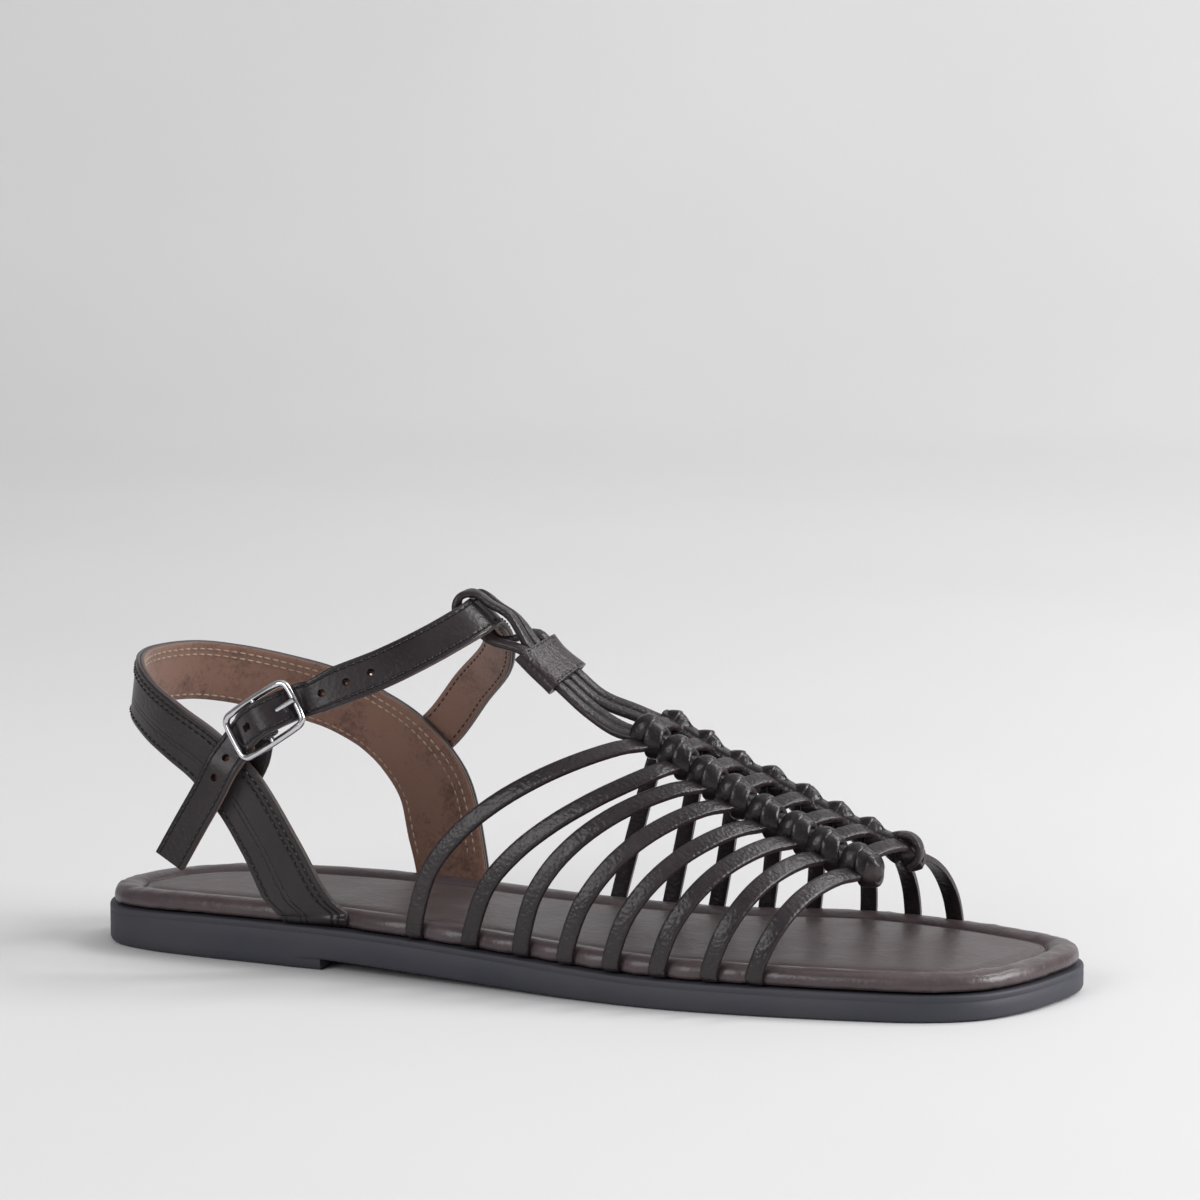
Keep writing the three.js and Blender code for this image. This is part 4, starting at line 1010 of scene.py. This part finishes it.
# Keeper: a tab of leather folded round the four thongs and sewn near both ends, its raw edge
# a little flared.
KEEPER_WALL = 1.2
keeper_stations = [(instep_point(instep_rows[i], 0), instep_out(i), 1.0, 0.0) for i in (2, 3, 4)]
keeper_frames = strap_frames(keeper_stations, 12)[:-3]
keeper_frames = [(p, w, f, s, 1.0 + 0.06 * abs(2 * i / (len(keeper_frames) - 1) - 1) ** 2)
                 for i, (p, w, f, s, _) in enumerate(keeper_frames)]
keeper_size = (4 * THONG_WIDTH + 2 * GAP + 2.6 * KEEPER_WALL, THONG_THICKNESS + 2 * GAP + 2 * KEEPER_WALL)
outer = folded_section(*keeper_size, 28)
inner = folded_section(keeper_size[0] - 2 * KEEPER_WALL, keeper_size[1] - 2 * KEEPER_WALL, 28)
keeper_points, keeper_faces = [], []
for section in (outer, inner):
    for point, way, face, side, width in keeper_frames:
        keeper_points.extend(point + side * (across * width) + face * out for across, out in section)
span = len(keeper_frames)
for start in (0, span):
    for i in range(span - 1):
        bridge(keeper_faces, (start + i) * 28, (start + i + 1) * 28, 28)
bridge(keeper_faces, 0, span * 28, 28)
bridge(keeper_faces, (span - 1) * 28, (2 * span - 1) * 28, 28)
keeper = add_piece("keeper_tab", keeper_points, keeper_faces, upper_leather)
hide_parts("keeper")
keeper_lines = []
for index in (1, span - 2):
    point, way, face, side, width = keeper_frames[index]
    keeper_lines.append([(point + side * across * width + face * (out + 0.02), face)
                         for across, out in sorted(outer) if out > 0.9])
sew("keeper_stitches", keeper_lines, black_thread, 2.0, 0.2)


# Quarter: heel strap and both legs cut in one, leather outside and brown suede inside, sewn
# double along the top and front edge and once along the other, with two pressed lines.
HEEL_HEIGHT = 67.0
QUARTER_WALL = 2.2
quarter_rows = [
    (0.252, -0.742, 0.27, 1.17, 1), (0.225, -0.765, 0.46, 1.02, 0.4), (0.192, -0.775, 0.655, 0.95, 0),
    (0.155, -0.76, 0.785, 0.93, 0), (0.117, -0.711, 0.866, 0.92, 0), (0.082, -0.599, 0.928, 0.93, 0),
    (0.051, -0.416, 0.985, 0.97, 0), (0.03, -0.03, 1, 1, 0), (0.049, 0.35, 0.997, 1, 0),
    (0.08, 0.52, 0.975, 1, 0), (0.129, 0.65, 0.93, 1.03, 0), (0.18, 0.7, 0.881, 1.06, 0),
    (0.225, 0.71, 0.806, 1.1, 0), (0.261, 0.715, 0.709, 1.23, 0), (0.292, 0.712, 0.56, 1.35, 0),
    (0.306, 0.69, 0.39, 1.38, 0),
]
heel_axis = (0.19 - 0.5) * SOLE_LENGTH


def quarter_stations():
    rows = []
    for along, across, up, width, level in quarter_rows:
        point = on_sole(along, across, up * HEEL_HEIGHT)
        out = Vector((min(point.x - heel_axis, 0), point.y, 0)).normalized()
        out.z = 0.12
        rows.append((point, out.normalized(), width, level))
    lateral = tucked_end(-1, lateral_leg[0], QUARTER_WALL, lateral_leg[1])
    medial = tucked_end(1, medial_leg[0], QUARTER_WALL, medial_leg[1])[::-1]
    return lateral + rows + medial


quarter = strap_frames(quarter_stations(), 8)
OUTER_SEAM, SECOND_SEAM, LOWER_SEAM = 1.9, 3.4, 1.4
quarter_seams = (1 - OUTER_SEAM / HEEL_STRAP_WIDTH, 1 - SECOND_SEAM / HEEL_STRAP_WIDTH,
                 LOWER_SEAM / HEEL_STRAP_WIDTH)
# The embossed lines and the seam rows are pressed lines, darkened in the colour with painted shade.
embossed_lines = ((0.319, 0.013), (0.4, 0.013))
quarter_leather = shoe_leather("quarter_leather", (0.016, 0.011, 0.013), (0.030, 0.023, 0.026), 0.38, grain=0.35,
                               edge=(0.040, 0.028, 0.028), edge_width=0.018,
                               pressed=tuple((share, 0.025) for share in quarter_seams) + embossed_lines)
for name, section, material in (
        ("quarter_face", cut_section(HEEL_STRAP_WIDTH, 0.05, QUARTER_WALL / 2), quarter_leather),
        ("quarter_backing", cut_section(HEEL_STRAP_WIDTH - 0.1, -0.85, 0.1), raw_leather),
        ("quarter_lining", cut_section(HEEL_STRAP_WIDTH - 0.4, -QUARTER_WALL / 2, -0.8, 0.1), suede)):
    skin = strap_skin(quarter, section)
    layer = add_piece(name, *skin[:2], material, skin[2])
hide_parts("quarter")
quarter_length = sum((b[0] - a[0]).length for a, b in zip(quarter, quarter[1:]))


def across_at(share):
    return lambda passed, width: (2 * share - 1) * HEEL_STRAP_WIDTH / 2 * width


TUCKED_LENGTH = 12.0
sewn = (TUCKED_LENGTH, quarter_length - TUCKED_LENGTH)
outside = [seam_line(quarter, across_at(share), QUARTER_WALL / 2, *sewn) for share in quarter_seams]
inside = [seam_line(quarter, across_at(share), -QUARTER_WALL / 2, *sewn) for share in quarter_seams]
sew("quarter_stitches", outside, black_thread, 2.2, 0.3)
sew("lining_stitches", inside, cream_thread, 2.2, 0.25)


# Buckle: a rounded frame of half-round steel wire, chromed, with a bar across its middle and
# a prong hooked on the bar; a short leather tab folded round the bar holds it to the leg.
def polished_chrome():
    material, shader, node, join = new_finish("polished_chrome")
    place = node("ShaderNodeTexCoord").outputs["Object"]
    haze = node("ShaderNodeTexNoise", [("Vector", place), ("Scale", 400.0), ("Detail", 3.0)])
    join(ramp(node, haze.outputs["Fac"], [(0.3, (0.60, 0.60, 0.62)), (0.7, (0.72, 0.72, 0.74))]), "Base Color")
    join(ramp(node, haze.outputs["Fac"], [(0.3, 0.10), (0.7, 0.2)]), "Roughness")
    shader.inputs["Metallic"].default_value = 1.0
    return material


chrome = polished_chrome()
wire = [(math.cos(2 * math.pi * (i + 0.5) / 14), math.sin(2 * math.pi * (i + 0.5) / 14)) for i in range(14)]
WIRE_RADIUS = BUCKLE_WIRE * 0.44
corner = BUCKLE_CORNER - BUCKLE_WIRE / 2
across_reach = buckle_width / 2 - BUCKLE_WIRE / 2
buckle_stations = []
for forward, across, start in ((1, 1, 0), (-1, 1, 90), (-1, -1, 180), (1, -1, 270)):
    for angle in (0, 30, 60, 90):
        turn = math.radians(start + angle)
        u = forward * (bar_reach - corner) + corner * math.cos(turn)
        v = across * (across_reach - corner) + corner * math.sin(turn)
        buckle_stations.append((at_buckle(u, v, -BUCKLE_BOW * (u / bar_reach) ** 2), buckle_out, 1.0, 0.0))
ring_skin = strap_skin(strap_frames(buckle_stations, 5, True),
                       [(a * WIRE_RADIUS, b * BUCKLE_DEPTH / 2) for a, b in wire], closed=True)
buckle = add_piece("buckle_ring", *ring_skin[:2], chrome)
bar_frames = [(at_buckle(0, across_reach * (2 * i / 8 - 1), 0), buckle_across, buckle_out, buckle_forward, 1.0)
              for i in range(9)]
bar_skin = strap_skin(bar_frames, [(a * BAR_RADIUS, b * BAR_RADIUS) for a, b in wire])
bar = add_piece("buckle_bar", *bar_skin[:2], chrome)
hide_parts("buckle_frame")

hook = BAR_RADIUS + GAP + PRONG_RADIUS
prong_stations = []
for angle in range(-225, 46, 45):
    turn = math.radians(angle)
    prong_stations.append((at_buckle(hook * math.sin(turn), 0, hook * math.cos(turn)), buckle_across, 1.0, 0.0))
prong_stations.append((at_buckle(hook * 2.2, 0, hook * 0.95), buckle_across, 1.0, 0.0))
prong_rest = BUCKLE_DEPTH / 2 + GAP + PRONG_RADIUS - BUCKLE_BOW
prong_stations.append((at_buckle(bar_reach + BUCKLE_WIRE / 2, 0, prong_rest), buckle_across, 0.85, 0.0))
prong_skin = strap_skin(strap_frames(prong_stations, 5), [(a * PRONG_RADIUS, b * PRONG_RADIUS) for a, b in wire])
prong = add_piece("buckle_tongue", *prong_skin[:2], chrome)
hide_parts("buckle_prong")

chape_leather = shoe_leather("chape_leather", (0.012, 0.009, 0.010), (0.022, 0.017, 0.018), 0.45, grain=0.4)
leg = quarter_rows[2]
chape_root = on_sole(leg[0] - 0.006, leg[1], leg[2] * HEEL_HEIGHT)
chape_root.y += QUARTER_WALL / 2 + 4 * GAP + CHAPE_THICKNESS / 2
chape_middle = chape_root.lerp(at_buckle(-sleeve_radius, 0, 0), 0.5)
chape_middle.y = chape_root.y - CHAPE_THICKNESS * 0.3
tab_out = Vector((0, -1, 0.1))
fold = BAR_RADIUS + GAP + CHAPE_THICKNESS / 2
chape_stations = [(chape_root, tab_out, 0.85, 0.0), (chape_middle, tab_out, 1.0, 0.0),
                  (at_buckle(-sleeve_radius * 1.5, 0, -sleeve_radius * 1.6), buckle_out, 1.0, 0.0)]
for angle in (215, 160, 105, 50, -5, -60, -115):
    turn = math.radians(angle)
    way = buckle_out * math.sin(turn) + buckle_forward * math.cos(turn)
    chape_stations.append((buckle_centre + way * fold, way, 1.0, 0.0))
chape_frames = strap_frames(chape_stations, 5)
chape_skin = strap_skin(chape_frames, cut_section(CHAPE_WIDTH, -CHAPE_THICKNESS / 2, CHAPE_THICKNESS / 2))
chape = add_piece("chape_tab", *chape_skin[:2], chape_leather, chape_skin[2])
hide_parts("buckle_chape")


# Studio: a pale seamless sweep, a soft light overhead, one at the heel in front, a strong one
# at the toe side and one that washes the wall behind.
right = Vector((0.9272, 0.3746, 0.0))
back = Vector((0.3712, -0.9187, 0.1350)).normalized()
up = back.cross(right).normalized()
target = Vector((0, -1.25, 0)) + right * 5.8 + up * 92.2
level_back = Vector((back.x, back.y, 0)).normalized()
sweep_points, sweep_faces = [], []
sweep_line = [(2.4, 0.0), (1.0, 0.0), (-0.3, 0.0), (-1.2, 0.0)]
SWEEP_RADIUS = 0.8
for turned in range(10, 91, 10):
    angle = math.radians(turned)
    sweep_line.append((-1.2 - SWEEP_RADIUS * math.sin(angle), SWEEP_RADIUS - SWEEP_RADIUS * math.cos(angle)))
sweep_line += [(-2.0, 3.0)]
for away, height in sweep_line:
    for aside in (-3.0, -1.0, 1.0, 3.0):
        sweep_points.append((level_back * away + right * aside + Vector((0, 0, height))) * 1000)
for i in range(len(sweep_line) - 1):
    bridge(sweep_faces, i * 4, i * 4 + 4, 4, closed=False)


def pale_sweep():
    material, shader, node, join = new_finish("pale_sweep")
    place = node("ShaderNodeTexCoord").outputs["Object"]
    cloud = node("ShaderNodeTexNoise", [("Vector", place), ("Scale", 3.0), ("Detail", 2.0)])
    join(ramp(node, cloud.outputs["Fac"], [(0.3, (0.72, 0.715, 0.72)), (0.7, (0.75, 0.745, 0.75))]), "Base Color")
    shader.inputs["Roughness"].default_value = 0.75
    shader.inputs["Specular IOR Level"].default_value = 0.2
    return material


sweep_mesh = bpy.data.meshes.new("studio_sweep")
sweep_mesh.from_pydata([tuple(point * 0.001) for point in sweep_points], [], sweep_faces)
for face in sweep_mesh.polygons:
    face.use_smooth = True
sweep_mesh.materials.append(pale_sweep())
sweep = bpy.data.objects.new("studio_sweep", sweep_mesh)
bpy.context.scene.collection.objects.link(sweep)

world = bpy.data.worlds.new("studio")
world.use_nodes = True
world.node_tree.nodes["Background"].inputs["Color"].default_value = (0.95, 0.945, 0.96, 1.0)
world.node_tree.nodes["Background"].inputs["Strength"].default_value = 0.24
bpy.context.scene.world = world


def soft_light(name, place, aim, size, power):
    lamp = bpy.data.lights.new(name, "AREA")
    lamp.shape = "RECTANGLE"
    lamp.size, lamp.size_y = size
    lamp.energy = power
    light = bpy.data.objects.new(name, lamp)
    light.location = place
    light.rotation_euler = (Vector(aim) - Vector(place)).to_track_quat("-Z", "Y").to_euler()
    bpy.context.scene.collection.objects.link(light)


soft_light("overhead", level_back * -0.1 + right * 0.2 + Vector((0, 0, 1.25)), (0, 0, 0.03), (1.2, 1.0), 2.0)
soft_light("heel_front", level_back * 1.1 - right * 0.9 + Vector((0, 0, 0.8)), (0, 0, 0.03), (0.9, 0.9), 10.5)
soft_light("toe_side", level_back * 0.3 + right * 1.4 + Vector((0, 0, 0.7)), (0.03, 0, 0.04), (0.8, 0.8), 24.0)
wall = level_back * -2.0 + Vector((0, 0, 0.7))
soft_light("wall_wash", level_back * -0.7 + right * 1.3 + Vector((0, 0, 1.7)), wall, (0.8, 0.8), 21.5)

lens = bpy.data.cameras.new("camera")
lens.sensor_width = 36.0
lens.lens = 154.8
camera = bpy.data.objects.new("camera", lens)
camera.matrix_world = Matrix((
    (right.x, up.x, back.x, (target.x + back.x * 1300) * 0.001),
    (right.y, up.y, back.y, (target.y + back.y * 1300) * 0.001),
    (right.z, up.z, back.z, (target.z + back.z * 1300) * 0.001),
    (0, 0, 0, 1)))
bpy.context.scene.collection.objects.link(camera)
bpy.context.scene.camera = camera
bpy.context.scene.view_settings.view_transform = "Standard"
